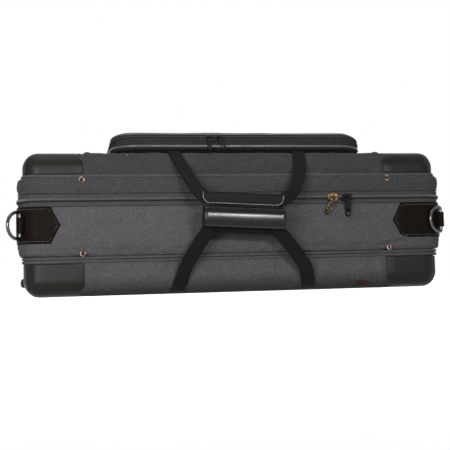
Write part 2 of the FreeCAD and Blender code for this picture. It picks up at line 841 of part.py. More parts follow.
grip_y = -half_depth - grip_stand
upper_hinge = on_lid_edge(upper_leave_angle, 0)
lower_hinge = on_tray_edge(lower_leave_angle, 0)
flap_middle = (flap_bottom + flap_top) / 2
slope = math.tan(math.radians(grip_tilt))

# Way of each strap after its square start: share of its anchor's distance along the case from
# the grip's middle, of the grip's stand and of its height
square_start = (1.0, 0.09, 0.08)
upper_left_way = [(0.9, 0.28, 0.26), (0.8, 0.56, 0.55), (0.69, 0.84, 0.84)]
upper_right_way = [(0.96, 0.28, 0.26), (0.87, 0.56, 0.55), (0.72, 0.86, 0.85)]
lower_left_way = [(0.86, 0.28, 0.27), (0.7, 0.57, 0.56), (0.5, 0.86, 0.84)]
lower_right_way = [(0.9, 0.28, 0.27), (0.7, 0.57, 0.56), (0.46, 0.86, 0.84)]


def webbing_loop(hinge, level, anchors, ways, half_middle, out_start, grow=0.0):
    """Webbing from anchor to anchor through the grip, round-ended at its hinge line."""
    points = []
    outs = []
    for side, anchor, way in zip((-1, 1), anchors, ways):
        part = []
        for across, stand, rise in [(1.0, 0.0, 0.0), square_start] + way:
            x = grip_middle + (anchor - grip_middle) * across
            y = hinge.y + (grip_y - hinge.y) * stand
            goal = level - slope * (x - grip_middle)
            z = hinge.z + (goal - hinge.z) * rise
            part.append((Vector(x, y, z), out_start * (1 - stand) + Vector(0, -1, 0) * stand))
        x = grip_middle + side * half_middle
        goal = level - slope * (x - grip_middle)
        part.append((Vector(x, grip_y, goal), Vector(0, -1, 0)))
        if side > 0:
            part.reverse()
        points += [point for point, _ in part]
        outs += [out for _, out in part]
    width = strap_width + 2 * grow
    thickness = strap_thickness + 2 * grow
    webbing = strap(points, outs, width, thickness)
    ends = []
    for point in (points[0], points[-1]):
        begin = Vector(point.x - width / 2, hinge.y, hinge.z)
        ends.append(Part.makeCylinder(thickness / 2, width, begin, Vector(1, 0, 0)))
    return webbing.multiFuse(ends)


def upper_webbing(grow=0.0):
    return webbing_loop(upper_hinge, flap_middle, upper_ends,
                        (upper_left_way, upper_right_way), upper_middle_half,
                        pointing(upper_leave_angle, 1), grow)


def lower_webbing(grow=0.0):
    return webbing_loop(lower_hinge, roll_middle, lower_ends,
                        (lower_left_way, lower_right_way), lower_middle_half,
                        pointing(lower_leave_angle, -1), grow)


def grip_flap():
    """Leather wrap of the upper loop, with rounded lower corners."""
    half = grip_length / 2
    r = flap_corner_radius
    s = r * (1 - math.sqrt(0.5))
    x0 = grip_middle - half
    x1 = grip_middle + half
    y = grip_y - flap_thickness / 2

    def at(x, z):
        return Vector(x, y, z)

    edges = [Part.makeLine(at(x0, flap_top), at(x0, flap_bottom + r))]
    edges.append(Part.Arc(at(x0, flap_bottom + r), at(x0 + s, flap_bottom + s),
                          at(x0 + r, flap_bottom)).toShape())
    edges.append(Part.makeLine(at(x0 + r, flap_bottom), at(x1 - r, flap_bottom)))
    edges.append(Part.Arc(at(x1 - r, flap_bottom), at(x1 - s, flap_bottom + s),
                          at(x1, flap_bottom + r)).toShape())
    edges.append(Part.makeLine(at(x1, flap_bottom + r), at(x1, flap_top)))
    edges.append(Part.makeLine(at(x1, flap_top), at(x0, flap_top)))
    flap = Part.Face(Part.Wire(edges)).extrude(Vector(0, flap_thickness, 0))
    flap.rotate(Vector(grip_middle, grip_y, flap_middle), Vector(0, 1, 0), grip_tilt)
    return flap


def grip_roll():
    """Padded leather roll round the lower loop, oval in section, with eased ends."""
    tall = roll_height / 2
    deep = roll_depth / 2
    bow = tall * roll_bow
    corners = [(0, tall), (deep - bow, bow), (deep, 0), (deep - bow, -bow)]
    corners += [(-y, -z) for y, z in corners]
    x = grip_middle - grip_length / 2
    points = [Vector(x, grip_y + y, roll_middle + z) for y, z in corners]
    edges = []
    for index in range(0, 8, 2):
        middle = points[(index + 1) % 8]
        edges.append(Part.Arc(points[index], middle, points[(index + 2) % 8]).toShape())
    roll = Part.Face(Part.Wire(edges)).extrude(Vector(grip_length, 0, 0))
    rims = [edge for edge in roll.Edges if edge.BoundBox.XLength < touch_gap]
    roll = roll.makeChamfer(roll_ease, rims)
    roll.rotate(Vector(grip_middle, grip_y, roll_middle), Vector(0, 1, 0), grip_tilt)
    return roll


save("upper_handle_loop", upper_webbing())
save("lower_handle_loop", lower_webbing())
save("grip_flap", grip_flap().cut(upper_webbing(seat_gap)))
save("grip_roll", grip_roll().cut(lower_webbing(seat_gap)))

# Nylon shells, the tray's with grooves for the lower anchors
tray_cover = covered_shell(tray_seam_height - seat_gap, tray_guard_height)
for x in lower_ends:
    tray_cover = tray_cover.cut(lower_anchor(x, strap_width + 2 * seat_gap,
                                             strap_thickness + 2 * seat_gap,
                                             lower_anchor_flat + seat_gap))
save("tray_cover", tray_cover)
lid_shell_height = case_height - lid_seam_height - seat_gap
save("lid_cover", upside_down(covered_shell(lid_shell_height, lid_guard_height)))

# Pocket
pocket_half_length = pocket_length / 2
pocket_half_depth = pocket_depth / 2
pocket_middle = -half_depth + pocket_setback + pocket_half_depth
pocket_place = Vector(pocket_shift, pocket_middle, 0)


def pocket_block(inset, low, high):
    """Upright block with the pocket's plan, smaller by an inset all round."""
    path = level_path(pocket_half_length - inset, pocket_half_depth - inset,
                      pocket_corner_radius - inset, case_height + low)
    path = [point + pocket_place for point in path]
    return Part.Face(Part.makePolygon(path + [path[0]])).extrude(UP * (high - low))


def pocket_ring(level, radius, sides):
    """Bead round the pocket's walls."""
    return ring_bead(pocket_half_length, pocket_half_depth, pocket_corner_radius,
                     case_height + level, radius, sides, pocket_place)


gusset = pocket_block(0, pocket_foot_height, pocket_gusset_top)
gusset = gusset.fuse(pocket_block(pocket_foot_inset, seat_gap, pocket_foot_height))
gusset = gusset.fuse([pocket_ring(pocket_piping_level, pocket_piping, piping_sides),
                      pocket_ring(pocket_gusset_top - pocket_bead, pocket_bead,
                                  pocket_bead_sides)])
gusset = gusset.cut(pocket_block(pocket_wall, pocket_foot_height + pocket_wall, pocket_height))
gusset = gusset.cut(pocket_block(pocket_foot_inset + pocket_wall, pocket_wall, pocket_height))
save("pocket_gusset", gusset.removeSplitter())

cover = pocket_block(0, pocket_cover_bottom, pocket_height)
cover = cover.makeChamfer(pocket_edge, edges_at(cover, case_height + pocket_height))
cover = cover.fuse(pocket_ring(pocket_cover_bottom + pocket_bead, pocket_bead,
                               pocket_bead_sides))
cover = cover.cut(pocket_block(pocket_wall, pocket_cover_bottom - past,
                               pocket_height - pocket_cover_wall))
save("pocket_cover", cover.removeSplitter())


def slider(front, level, middle, length, height, lip_high, lip_back):
    """Zip slider: tapered plate in front of the coils, a lip under the lower coil, a bridge."""
    half = length / 2
    tall = height / 2
    nose = tall * slider_nose
    tail = tall * slider_tail
    crest = -half * slider_crest
    outline = [(-half, -nose), (crest, -tall), (half, -tail), (half, tail), (crest, tall)]
    outline.append((-half, nose))
    points = [Vector(middle + x, front, level + z) for x, z in outline]
    plate = Part.Face(Part.makePolygon(points + [points[0]]))
    plate = plate.extrude(Vector(0, -slider_plate, 0))
    lip = box(middle - half, middle + half, front - slider_plate / 2, lip_back,
              lip_high - slider_lip, lip_high)
    bar_y = front - slider_plate - bridge_stand
    bar = Part.makeCylinder(bridge_radius, bridge_length,
                            Vector(middle - bridge_length / 2, bar_y, level), Vector(1, 0, 0))
    pieces = [lip, bar]
    for side in (-1, 1):
        x = middle + side * (bridge_length - bridge_leg) / 2
        pieces.append(box(x - bridge_leg / 2, x + bridge_leg / 2, bar_y,
                          front - slider_plate / 2, level - bridge_radius, level + bridge_radius))
    return plate.multiFuse(pieces).removeSplitter()


def pull(middle, bar_y, level, length, width, slant, windows, with_ring):
    """Pull tab that turns on the slider's bridge; its plate may slant and carry a ring."""
    knuckle_radius = bridge_radius + pin_gap + pull_knuckle
    knuckle_length = bridge_length - 2 * bridge_leg - 2 * pin_gap
    begin = Vector(middle - knuckle_length / 2, bar_y, level)
    knuckle = Part.makeCylinder(knuckle_radius, knuckle_length, begin, Vector(1, 0, 0))
    bore = Part.makeCylinder(bridge_radius + pin_gap, knuckle_length + 2 * past,
                             begin - Vector(past, 0, 0), Vector(1, 0, 0))
    half = width / 2
    neck = knuckle_length / 2
    top = -(bridge_radius + knuckle_radius) / 2
    shoulder = -knuckle_radius - pull_shoulder
    corner = pull_corner
    outline = [(-neck, top), (neck, top), (half, shoulder), (half, -length + corner)]
    outline += [(half - corner, -length), (-half + corner, -length)]
    outline += [(-half, -length + corner), (-half, shoulder)]
    points = [Vector(middle + x, bar_y - pull_plate / 2, level + z) for x, z in outline]
    plate = Part.Face(Part.makePolygon(points + [points[0]])).extrude(Vector(0, pull_plate, 0))
    if with_ring:
        eye = Vector(middle, bar_y - pull_plate, level - length + pull_eye_drop)
        hole = Part.makeCylinder(pull_eye_radius, 2 * pull_plate, eye, Vector(0, 1, 0))
        plate = plate.cut(hole)
    edge = pull_pane_edge
    pane = (length + shoulder - edge) / max(windows, 1)
    for index in range(windows):
        low = level - length + edge + index * pane
        plate = plate.cut(box(middle - half + edge, middle + half - edge, bar_y - pull_plate,
                              bar_y + pull_plate, low, low + pane - edge))
    plate.rotate(Vector(middle, bar_y, level + top), Vector(0, 1, 0), slant)
    tab = plate.fuse(knuckle).cut(bore).removeSplitter()
    if not with_ring:
        return tab
    path = []
    along = Vector(0, 1, 0)
    for first, second in ((UP, along), (along, -UP), (-UP, -along), (-along, UP)):
        path += arc_points(Vector(0, 0, 0), first, second, pull_ring_radius,
                           pull_ring_steps)[1:]
    ring = wire_form(path, Vector(1, 0, 0), pull_ring_wire, pull_ring_sides, True)
    ring.rotate(Vector(0, 0, 0), UP, pull_ring_turn)
    ring.translate(Vector(middle, bar_y, level - length + pull_eye_drop - pull_ring_radius))
    ring.rotate(Vector(middle, bar_y, level + top), Vector(0, 1, 0), slant)
    return Part.makeCompound([tab, ring])


# Main zip sliders and pulls
coil_front = -(step_half_depth + zip_tape - seat_gap + coil_depth)
tape_front = -(step_half_depth + zip_tape - seat_gap)
plate_back = coil_front - seat_gap
bridge_y = plate_back - slider_plate - bridge_stand
for name, x, length, slant in (
        ("left", left_slider_position, left_pull_length, left_pull_slant),
        ("right", right_slider_position, right_pull_length, 0.0)):
    body = slider(plate_back, parting_height, x, slider_length, slider_height,
                  tray_rim - coil_height - seat_gap, tape_front - seat_gap)
    save(name + "_zip_slider", body)
    save(name + "_zip_pull", pull(x, bridge_y, parting_height, length, pull_width, slant, 0, True))

# Pocket sliders and pulls
pocket_front = pocket_middle - pocket_half_depth
pocket_level = case_height + (pocket_gusset_top + pocket_cover_bottom) / 2
bead_front = pocket_front - pocket_bead
pocket_plate_back = bead_front - seat_gap
pocket_bridge_y = pocket_plate_back - slider_plate - bridge_stand
lip_top = case_height + pocket_gusset_top - 2 * pocket_bead - seat_gap
for name, x, slant in (("left", left_pocket_slider, 0.0),
                       ("right", right_pocket_slider, -pocket_pull_slant)):
    body = slider(pocket_plate_back, pocket_level, x, pocket_slider_length, pocket_slider_height,
                  lip_top, pocket_front - seat_gap)
    save("pocket_slider_" + name, body)
    save("pocket_pull_" + name, pull(x, pocket_bridge_y, pocket_level, pocket_pull_length,
                                     pocket_pull_width, slant, pocket_pull_windows,
                                     False))

# Webbing stays that stop the open lid, folded up while it is shut
for side, name in ((-1, "left"), (1, "right")):
    x = side * (lining_half_length - seat_gap - stay_thickness / 2)
    save(name + "_stay_strap", box(x - stay_thickness / 2, x + stay_thickness / 2,
                                   stay_depth - stay_width / 2, stay_depth + stay_width / 2,
                                   parting_height - stay_drop, parting_height + stay_rise))

# Small leather loop at the front lower edge
tab_radius = shell_round + seat_gap + tab_leather / 2
tab_points = []
tab_outs = []
for angle in tab_angles:
    a = math.radians(angle)
    tab_points.append(Vector(tab_position, edge_y - tab_radius * math.sin(a),
                             shell_round - tab_radius * math.cos(a)))
    tab_outs.append(pointing(angle, -1))
bend = tab_points[-1]
tab_points.append(Vector(tab_position, bend.y - tab_lift, bend.z - tab_lift))
tab_outs.append(Vector(0, -1, -1))
save("front_loop_tab", strap(tab_points, tab_outs, tab_width, tab_leather))
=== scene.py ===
"""Looks of a padded, zip-closed case for two trumpets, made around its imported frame.

Metres. X runs along the case, the handle side faces -Y, the lid is on top.
"""
import json
import math
import random

import bmesh
import bpy
import numpy as np
from mathutils import Matrix, Vector, noise

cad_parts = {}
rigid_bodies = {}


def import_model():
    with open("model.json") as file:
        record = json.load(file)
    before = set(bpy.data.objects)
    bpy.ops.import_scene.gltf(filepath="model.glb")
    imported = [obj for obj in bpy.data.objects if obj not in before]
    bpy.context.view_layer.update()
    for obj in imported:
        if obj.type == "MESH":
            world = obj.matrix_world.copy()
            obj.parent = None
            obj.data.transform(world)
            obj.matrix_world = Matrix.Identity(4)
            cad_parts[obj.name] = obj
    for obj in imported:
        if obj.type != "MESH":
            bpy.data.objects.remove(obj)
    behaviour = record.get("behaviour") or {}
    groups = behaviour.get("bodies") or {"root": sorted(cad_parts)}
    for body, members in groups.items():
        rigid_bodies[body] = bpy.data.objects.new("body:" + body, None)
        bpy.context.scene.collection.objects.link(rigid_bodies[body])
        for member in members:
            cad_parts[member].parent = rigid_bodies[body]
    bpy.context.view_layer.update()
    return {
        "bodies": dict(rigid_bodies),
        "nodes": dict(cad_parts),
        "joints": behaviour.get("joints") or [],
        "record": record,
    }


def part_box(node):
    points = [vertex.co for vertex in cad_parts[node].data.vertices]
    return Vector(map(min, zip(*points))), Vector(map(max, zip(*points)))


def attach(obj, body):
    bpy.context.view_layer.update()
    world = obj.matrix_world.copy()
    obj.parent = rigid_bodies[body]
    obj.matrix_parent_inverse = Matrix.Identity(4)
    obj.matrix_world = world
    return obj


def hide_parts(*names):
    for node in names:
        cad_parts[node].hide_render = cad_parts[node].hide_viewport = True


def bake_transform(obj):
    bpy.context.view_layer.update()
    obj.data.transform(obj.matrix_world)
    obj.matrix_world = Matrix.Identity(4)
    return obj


bl_info = {
    "name": "Trumpet Case",
    "version": (1, 0, 0),
    "blender": (4, 5, 0),
    "location": "3D View > Sidebar > Case",
    "description": "Dresses the frame of a padded trumpet case",
    "category": "Object",
}

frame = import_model()

MM = 0.001
UP = Vector((0, 0, 1))

# Places that the frame gives
SHELL_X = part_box("tray_cover")[1][0]
SHELL_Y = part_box("tray_cover")[1][1]
BAND_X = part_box("tray_band")[1][0]
BAND_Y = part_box("tray_band")[1][1]
TRAY_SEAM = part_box("tray_band")[0][2]
LID_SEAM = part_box("lid_band")[1][2]
PARTING = (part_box("tray_band")[1][2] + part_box("lid_band")[0][2]) / 2
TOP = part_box("lid_cover")[1][2]
WALL_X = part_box("tray_left_wall")[0][0] * -1
WALL_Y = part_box("tray_front_wall")[0][1] * -1
ROOM_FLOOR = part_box("tray_floor")[0][2]
TRAY_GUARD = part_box("tray_guards")[1][2]
LID_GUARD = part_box("lid_guards")[0][2]
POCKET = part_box("pocket_gusset")
JOINTS = {joint["name"]: joint for joint in frame["joints"]}

# Sizes shared by several pieces, as in the frame
SHELL_ROUND = 19 * MM
BAND_ROUND = 28 * MM
WALL_ROUND = 15 * MM
GUARD_LEG = 75 * MM
GUARD_PROUD = 2.5 * MM
GUARD_WALL = 2.4 * MM
GUARD_PLATE = 1.5 * MM
GUARD_PLAN_ROUND = 60 * MM
GAP = 0.3 * MM
STRAP_WIDTH = 15 * MM
STRAP_THICK = 3.4 * MM
GRIP_X = JOINTS["upper_handle_swing"]["pos_m"][0]
GRIP_Y = -SHELL_Y - 48.5 * MM
GRIP_TILT = math.radians(3)
UPPER_ENDS = {-1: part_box("upper_handle_anchors")[0][0] + STRAP_WIDTH / 2,
              1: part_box("upper_handle_anchors")[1][0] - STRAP_WIDTH / 2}
LOWER_ENDS = {-1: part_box("lower_handle_anchors")[0][0] + STRAP_WIDTH / 2,
              1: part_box("lower_handle_anchors")[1][0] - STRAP_WIDTH / 2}
PATCH_MIDDLE = JOINTS["left_ring_swing"]["pos_m"][2]
PATCH_TALL = 23.5 * MM
PATCH_REACH = {-1: BAND_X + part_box("left_ring_patch")[1][0], 1: BAND_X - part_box("right_ring_patch")[0][0]}
RIVET_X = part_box("tray_rivets")[1][0] - 3.8 * MM
TAPE_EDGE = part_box("lid_zip_half")[1][2] - PARTING

# How many points a ring has on a long side, a short side and a corner
LONG, SHORT, CORNER = 140, 70, 10


class CaseSizes(bpy.types.PropertyGroup):
    """Sizes of the fabric, threads and folds."""

    weave: bpy.props.FloatProperty(name="Weave", description="Pitch of the nylon's threads",
                                   default=0.0009, unit="LENGTH")
    padding: bpy.props.FloatProperty(name="Padding", description="How far the foam swells the nylon",
                                     default=0.0012, unit="LENGTH")
    folds: bpy.props.FloatProperty(name="Folds", description="Height of the nylon's soft folds",
                                   default=0.0009, unit="LENGTH")
    stitch: bpy.props.FloatProperty(name="Stitch", description="Length of one stitch",
                                    default=0.0032, unit="LENGTH")
    thread: bpy.props.FloatProperty(name="Thread", description="Radius of the sewing thread",
                                    default=0.0003, unit="LENGTH")
    tooth: bpy.props.FloatProperty(name="Tooth", description="Pitch of the zip's coil",
                                   default=0.0021, unit="LENGTH")
    pile: bpy.props.FloatProperty(name="Pile", description="Grain of the plush lining",
                                  default=0.0012, unit="LENGTH")


def colour_property(name, words, value):
    """Linear colour that a user may change."""
    return bpy.props.FloatVectorProperty(name=name, description=words, subtype="COLOR", size=3,
                                         min=0, max=1, default=value)


class CaseColours(bpy.types.PropertyGroup):
    """Colours of the finishes, linear."""

    nylon: colour_property("Nylon", "Shells and bands", (0.068, 0.067, 0.071))
    pocket: colour_property("Pocket", "Nylon of the pocket", (0.022, 0.022, 0.023))
    piping: colour_property("Piping", "Nylon over the seams' cords", (0.058, 0.057, 0.061))
    guard: colour_property("Guard", "Moulded corner guards", (0.0080, 0.0066, 0.0052))
    patch: colour_property("Patch", "Leather patches", (0.0070, 0.0045, 0.0034))
    grip: colour_property("Grip", "Leather of the handle", (0.0022, 0.0022, 0.0021))
    webbing: colour_property("Webbing", "Handle straps and stays", (0.0042, 0.0041, 0.0035))
    coil: colour_property("Coil", "Upper zip coil", (0.12, 0.12, 0.126))
    # the lower coil's dark colour is painted shade on the main zip (the dark line under the lid's tape) and the own
    # dark colour of the pocket zip
    dark_coil: colour_property("Dark coil", "Lower zip coil", (0.009, 0.009, 0.009))
    tape: colour_property("Tape", "Zip tapes", (0.048, 0.048, 0.050))
    cord: colour_property("Cord", "Shiny piping of the pocket and the flap", (0.055, 0.055, 0.056))
    thread: colour_property("Thread", "Stitches", (0.085, 0.085, 0.090))
    plush: colour_property("Plush", "Linings and fitted blocks", (0.030, 0.030, 0.035))
    wood: colour_property("Wood", "Plywood box", (0.50, 0.34, 0.19))
    brass: colour_property("Brass", "Left zip slider and pull", (0.10, 0.062, 0.026))
    steel: colour_property("Steel", "Carrying rings", (0.075, 0.075, 0.078))
    enamel: colour_property("Enamel", "Black sliders and pulls", (0.004, 0.004, 0.004))
    copper: colour_property("Copper", "Rivets", (0.42, 0.31, 0.26))
    rubber: colour_property("Rubber", "Feet", (0.006, 0.006, 0.006))
    tab: colour_property("Tab", "Loop tab at the front", (0.022, 0.009, 0.006))


# Shader maths

class Signal:
    """One output in a material, with arithmetic that adds Math nodes."""

    def __init__(self, finish, socket):
        self.finish = finish
        self.socket = socket

    def maths(self, operation, *others):
        return self.finish.add("Math", {"operation": operation}, [self, *others])

    def __add__(self, other):
        return self.maths("ADD", other)

    def __radd__(self, other):
        return self.maths("ADD", other)

    def __sub__(self, other):
        return self.maths("SUBTRACT", other)

    def __rsub__(self, other):
        return self.finish.add("Math", {"operation": "SUBTRACT"}, [other, self])

    def __mul__(self, other):
        return self.maths("MULTIPLY", other)

    def __rmul__(self, other):
        return self.maths("MULTIPLY", other)

    def __truediv__(self, other):
        return self.maths("DIVIDE", other)

    def __pow__(self, other):
        return self.maths("POWER", other)

    def sine(self):
        return self.maths("SINE")

    def size(self):
        return self.maths("ABSOLUTE")

    def above(self, other):
        return self.maths("GREATER_THAN", other)

    def most(self, other):
        return self.maths("MAXIMUM", other)

    def least(self, other):
        return self.maths("MINIMUM", other)


class Finish:
    """One material and the nodes that make it."""

    def __init__(self, name):
        self.material = bpy.data.materials.new(name)
        self.material.use_nodes = True
        self.tree = self.material.node_tree
        self.shader = self.tree.nodes["Principled BSDF"]

    def node(self, kind, settings=None, values=()):
        """New node with its settings made first; values go to its sockets by place or by name."""
        node = self.tree.nodes.new("ShaderNode" + kind)
        for key, value in (settings or {}).items():
            if key == "stops":
                self.set_stops(node, value)
            else:
                setattr(node, key, value)
        pairs = values.items() if isinstance(values, dict) else enumerate(values)
        for key, value in pairs:
            self.feed(node.inputs[key], value)
        return node

    def set_stops(self, node, stops):
        ramp = node.color_ramp
        while len(ramp.elements) < len(stops):
            ramp.elements.new(0.5)
        for element, (place, shade) in zip(ramp.elements, stops):
            element.position = place
            element.color = (shade, shade, shade, 1)

    def feed(self, socket, value):
        if isinstance(value, Signal):
            self.tree.links.new(value.socket, socket)
        else:
            socket.default_value = value

    def add(self, kind, settings=None, values=(), output=0):
        return Signal(self, self.node(kind, settings, values).outputs[output])

    def place(self):
        """Object coordinates as three signals, and the vector itself."""
        vector = self.add("TexCoord", output="Object")
        parts = self.node("SeparateXYZ", None, [vector])
        return [Signal(self, socket) for socket in parts.outputs] + [vector]

    def facing(self):
        """Sizes of the object normal's three parts."""
        normal = self.add("TexCoord", output="Normal")
        parts = self.node("SeparateXYZ", None, [normal])
        return [Signal(self, socket).size() for socket in parts.outputs]

    def choose(self, share, first, second):
        """Number that goes from first to second as share goes from 0 to 1."""
        return self.add("Mix", {"data_type": "FLOAT"}, {0: share, 2: first, 3: second})

    def blend(self, share, first, second):
        """Colour that goes from first to second as share goes from 0 to 1."""
        return self.add("Mix", {"data_type": "RGBA"}, {0: share, 6: first, 7: second}, output=2)

    def across(self):
        """Two signals that run along a surface, whichever way it faces."""
        x, y, z, _ = self.place()
        nx, ny, nz = self.facing()
        on_end = nx.above(ny.most(nz))
        on_flat = nz.above(nx.most(ny))
        first = self.choose(on_end, x, y)
        second = self.choose(on_flat, z, y)
        return first, second

    def noise(self, scale, detail=2.0, rough=0.5, vector=None):
        vector = vector or self.place()[3]
        return self.add("TexNoise", None, {"Vector": vector, "Scale": scale, "Detail": detail,
                                           "Roughness": rough})

    def cells(self, scale, vector=None):
        vector = vector or self.place()[3]
        return self.add("TexVoronoi", {"feature": "DISTANCE_TO_EDGE"},
                        {"Vector": vector, "Scale": scale})

    def shade(self, colour, *changes):
        """Colour made lighter or darker by signals about 1."""
        light = changes[0]
        for change in changes[1:]:
            light = light * change
        grey = self.add("CombineColor", None, [light, light, light])
        return self.add("Mix", {"data_type": "RGBA", "blend_type": "MULTIPLY"},
                        {0: 1.0, 6: (*colour, 1), 7: grey}, output=2)

    def bump(self, height, distance, strength=1.0, onto=None):
        values = {"Height": height, "Distance": distance, "Strength": strength}
        if onto is not None:
            values["Normal"] = onto
        return self.add("Bump", None, values)

    def surface(self, **values):
        names = {"colour": "Base Color", "rough": "Roughness", "metal": "Metallic",
                 "normal": "Normal", "sheen": "Sheen Weight", "sheen_rough": "Sheen Roughness",
                 "specular": "Specular IOR Level", "coat": "Coat Weight",
                 "coat_rough": "Coat Roughness"}
        for key, value in values.items():
            socket = self.shader.inputs[names[key]]
            if key == "colour" and not isinstance(value, Signal):
                value = (*value, 1)
            self.feed(socket, value)
        return self.material


def woven(name, colour, pitch, light=1.0, painted_shadow_to=None, shaded_foot_height=0.0):
    """Textured nylon: thick threads over and under each other, a little uneven; light scales its tone (painted shade
    on the lid's copies);
    painted_shadow_to is the level up to which painted shadow makes it near black, shaded_foot_height the height of its
    foot darkened as painted shade."""
    finish = Finish(name)
    a, b = finish.across()
    turn = math.pi / pitch
    threads = (a * turn).sine() * (b * turn).sine()
    speckle = finish.noise(1.25 / pitch, 2.0, 0.6)
    grain = finish.noise(0.5 / pitch, 1.0, 0.5)
    flecks = finish.add("ValToRGB", {"stops": [(0.60, 0.0), (0.72, 1.0)]}, [finish.noise(0.62 / pitch, 1.0)])
    cloud = finish.noise(14.0, 3.0)
    shade = 0.88 + threads * 0.15 + (speckle - 0.5) * 1.9 + (grain - 0.5) * 0.6 + flecks * 0.6
    # cloud is the nylon's own uneven tone; a light below 1 is painted shade, used by the lid's darker copies
    level = (0.85 + cloud * 0.3) * light
    # painted shade: darker towards the bottom, where the tray's rounded lower edge turns down away from the lamps
    if shaded_foot_height:
        level = level * (0.35 + (finish.place()[2] * (1 / shaded_foot_height)).least(1.0) * 0.65)
    # painted shadow: near black below the level, where the pocket's overhang shades its foot
    if painted_shadow_to is not None:
        level = level * (0.12 + finish.place()[2].above(painted_shadow_to) * 0.88)
    colour = finish.shade(colour, shade.most(0.2), level)
    height = threads * 0.4 + speckle + grain * 0.6
    normal = finish.bump(height, 0.00018, 0.7)
    rough = 0.8 + (speckle - 0.5) * 0.3
    return finish.surface(colour=colour, rough=rough, normal=normal, sheen=0.03,
                          sheen_rough=0.5, specular=0.1)


def moulded(name, colour):
    """Smooth satin leatherette, moulded in one piece, scuffed here and there."""
    finish = Finish(name)
    pebbles = finish.cells(900.0)
    cloud = finish.noise(9.0, 4.0)
    scuffs = finish.noise(60.0, 5.0, 0.65)
    wear = finish.add("ValToRGB", {"stops": [(0.55, 0.0), (0.75, 1.0)]}, [scuffs])
    shade = 0.85 + cloud * 0.3 + wear * 0.12
    colour = finish.shade(colour, shade)
    first = finish.bump(pebbles, 0.0001, 0.35)
    normal = finish.bump(finish.noise(35.0, 3.0), 0.0008, 0.35, first)
    rough = 0.34 + cloud * 0.12 + wear * 0.12
    return finish.surface(colour=colour, rough=rough, normal=normal, specular=0.13)


def leather(name, colour, rough, grain=420.0, depth=0.00025, shine=0.2):
    """Grained leather with fine creases."""
    finish = Finish(name)
    cells = finish.cells(grain)
    creases = finish.noise(grain * 0.2, 5.0, 0.6)
    cloud = finish.noise(20.0, 3.0)
    shade = 0.75 + cloud * 0.45 + creases * 0.1
    colour = finish.shade(colour, shade)
    first = finish.bump(cells.least(0.3), depth, 0.6)
    normal = finish.bump(creases, depth * 1.5, 0.3, first)
    change = rough + (creases - 0.5) * 0.15
    return finish.surface(colour=colour, rough=change, normal=normal, specular=shine)


def twill(name, colour, pitch=0.0026, rough=0.55):
    """Webbing with steep ribs, for pieces whose map is in metres along and across."""
    finish = Finish(name)
    flat = finish.add("UVMap")
    parts = finish.node("SeparateXYZ", None, [flat])
    u = Signal(finish, parts.outputs[0])
    v = Signal(finish, parts.outputs[1])
    turn = 2 * math.pi / pitch
    ribs = ((u * 1.0 + v * 0.8) * turn).sine()
    cross = (v * turn * 1.7).sine()
    cloud = finish.noise(45.0, 3.0)
    shade = 0.95 + ribs * 0.8 + cross * 0.5 + (cloud - 0.5) * 0.8
    colour = finish.shade(colour, shade.most(0.12))
    normal = finish.bump(ribs * 0.6 + cross * 0.3, 0.0004, 0.8)
    return finish.surface(colour=colour, rough=rough + (cloud - 0.5) * 0.2, normal=normal,
                          specular=0.07)


def plush(name, colour, pile):
    """Short pile that catches light at its edges."""
    finish = Finish(name)
    fuzz = finish.noise(1.0 / pile, 3.0, 0.7)
    strokes = finish.noise(16.0, 3.0)
    shade = 0.55 + fuzz * 0.5 + strokes * 0.4
    colour = finish.shade(colour, shade)
    normal = finish.bump(fuzz, 0.0007, 0.9)
    return finish.surface(colour=colour, rough=0.95, normal=normal, sheen=0.35,
                          sheen_rough=0.35, specular=0.05)


def plain_metal(name, colour, rough, metal=1.0, wear=0.2, shine=0.5):
    """Metal or enamel with fine handling marks."""
    finish = Finish(name)
    marks = finish.noise(380.0, 4.0, 0.7)
    cloud = finish.noise(70.0, 2.0)
    colour = finish.shade(colour, 1.0 + (cloud - 0.5) * wear * 2)
    normal = finish.bump(marks, 0.00006, 0.5)
    return finish.surface(colour=colour, rough=rough + (marks - 0.5) * 0.25, metal=metal,
                          normal=normal, specular=shine)


def aged_metal(name, colour, patina, rough):
    """Metal with dull dark patina in spots at random."""
    finish = Finish(name)
    marks = finish.noise(420.0, 4.0, 0.7)
    spots = finish.noise(230.0, 3.0, 0.6)
    dull = finish.add("ValToRGB", {"stops": [(0.36, 0.0), (0.54, 1.0)]}, [spots])
    tone = finish.blend(dull, (*colour, 1), (*patina, 1))
    normal = finish.bump(marks + spots, 0.0003, 0.7)
    return finish.surface(colour=tone, rough=rough + dull * 0.25, metal=1.0 - dull * 0.5, normal=normal,
                          specular=0.2)


def plies(name, colour):
    """Birch plywood: long grain, with the glued layers showing at cut edges."""
    finish = Finish(name)
    x, y, z, vector = finish.place()
    stretched = finish.add("Mapping", None, {"Vector": vector, "Scale": (1.0, 1.0, 9.0)})
    grain = finish.noise(70.0, 5.0, 0.6, stretched)
    fine = finish.noise(520.0, 3.0, 0.6, stretched)
    nx, ny, nz = finish.facing()
    edge = nz.above(0.7)
    layers = ((x + y) * (2 * math.pi / 0.0024)).sine().above(0.0)
    dark = 1.0 - edge * layers * 0.35
    shade = (0.8 + grain * 0.35 + (fine - 0.5) * 0.25) * dark
    colour = finish.shade(colour, shade)
    normal = finish.bump(grain + fine * 0.4, 0.0002, 0.5)
    return finish.surface(colour=colour, rough=0.6 + (grain - 0.5) * 0.2, normal=normal)


def rubbery(name, colour):
    finish = Finish(name)
    dust = finish.noise(160.0, 4.0, 0.6)
    colour = finish.shade(colour, 0.8 + dust * 0.5)
    normal = finish.bump(dust, 0.0001, 0.5)
    return finish.surface(colour=colour, rough=0.6 + (dust - 0.5) * 0.2, normal=normal, specular=0.2)


FINISHES = {}


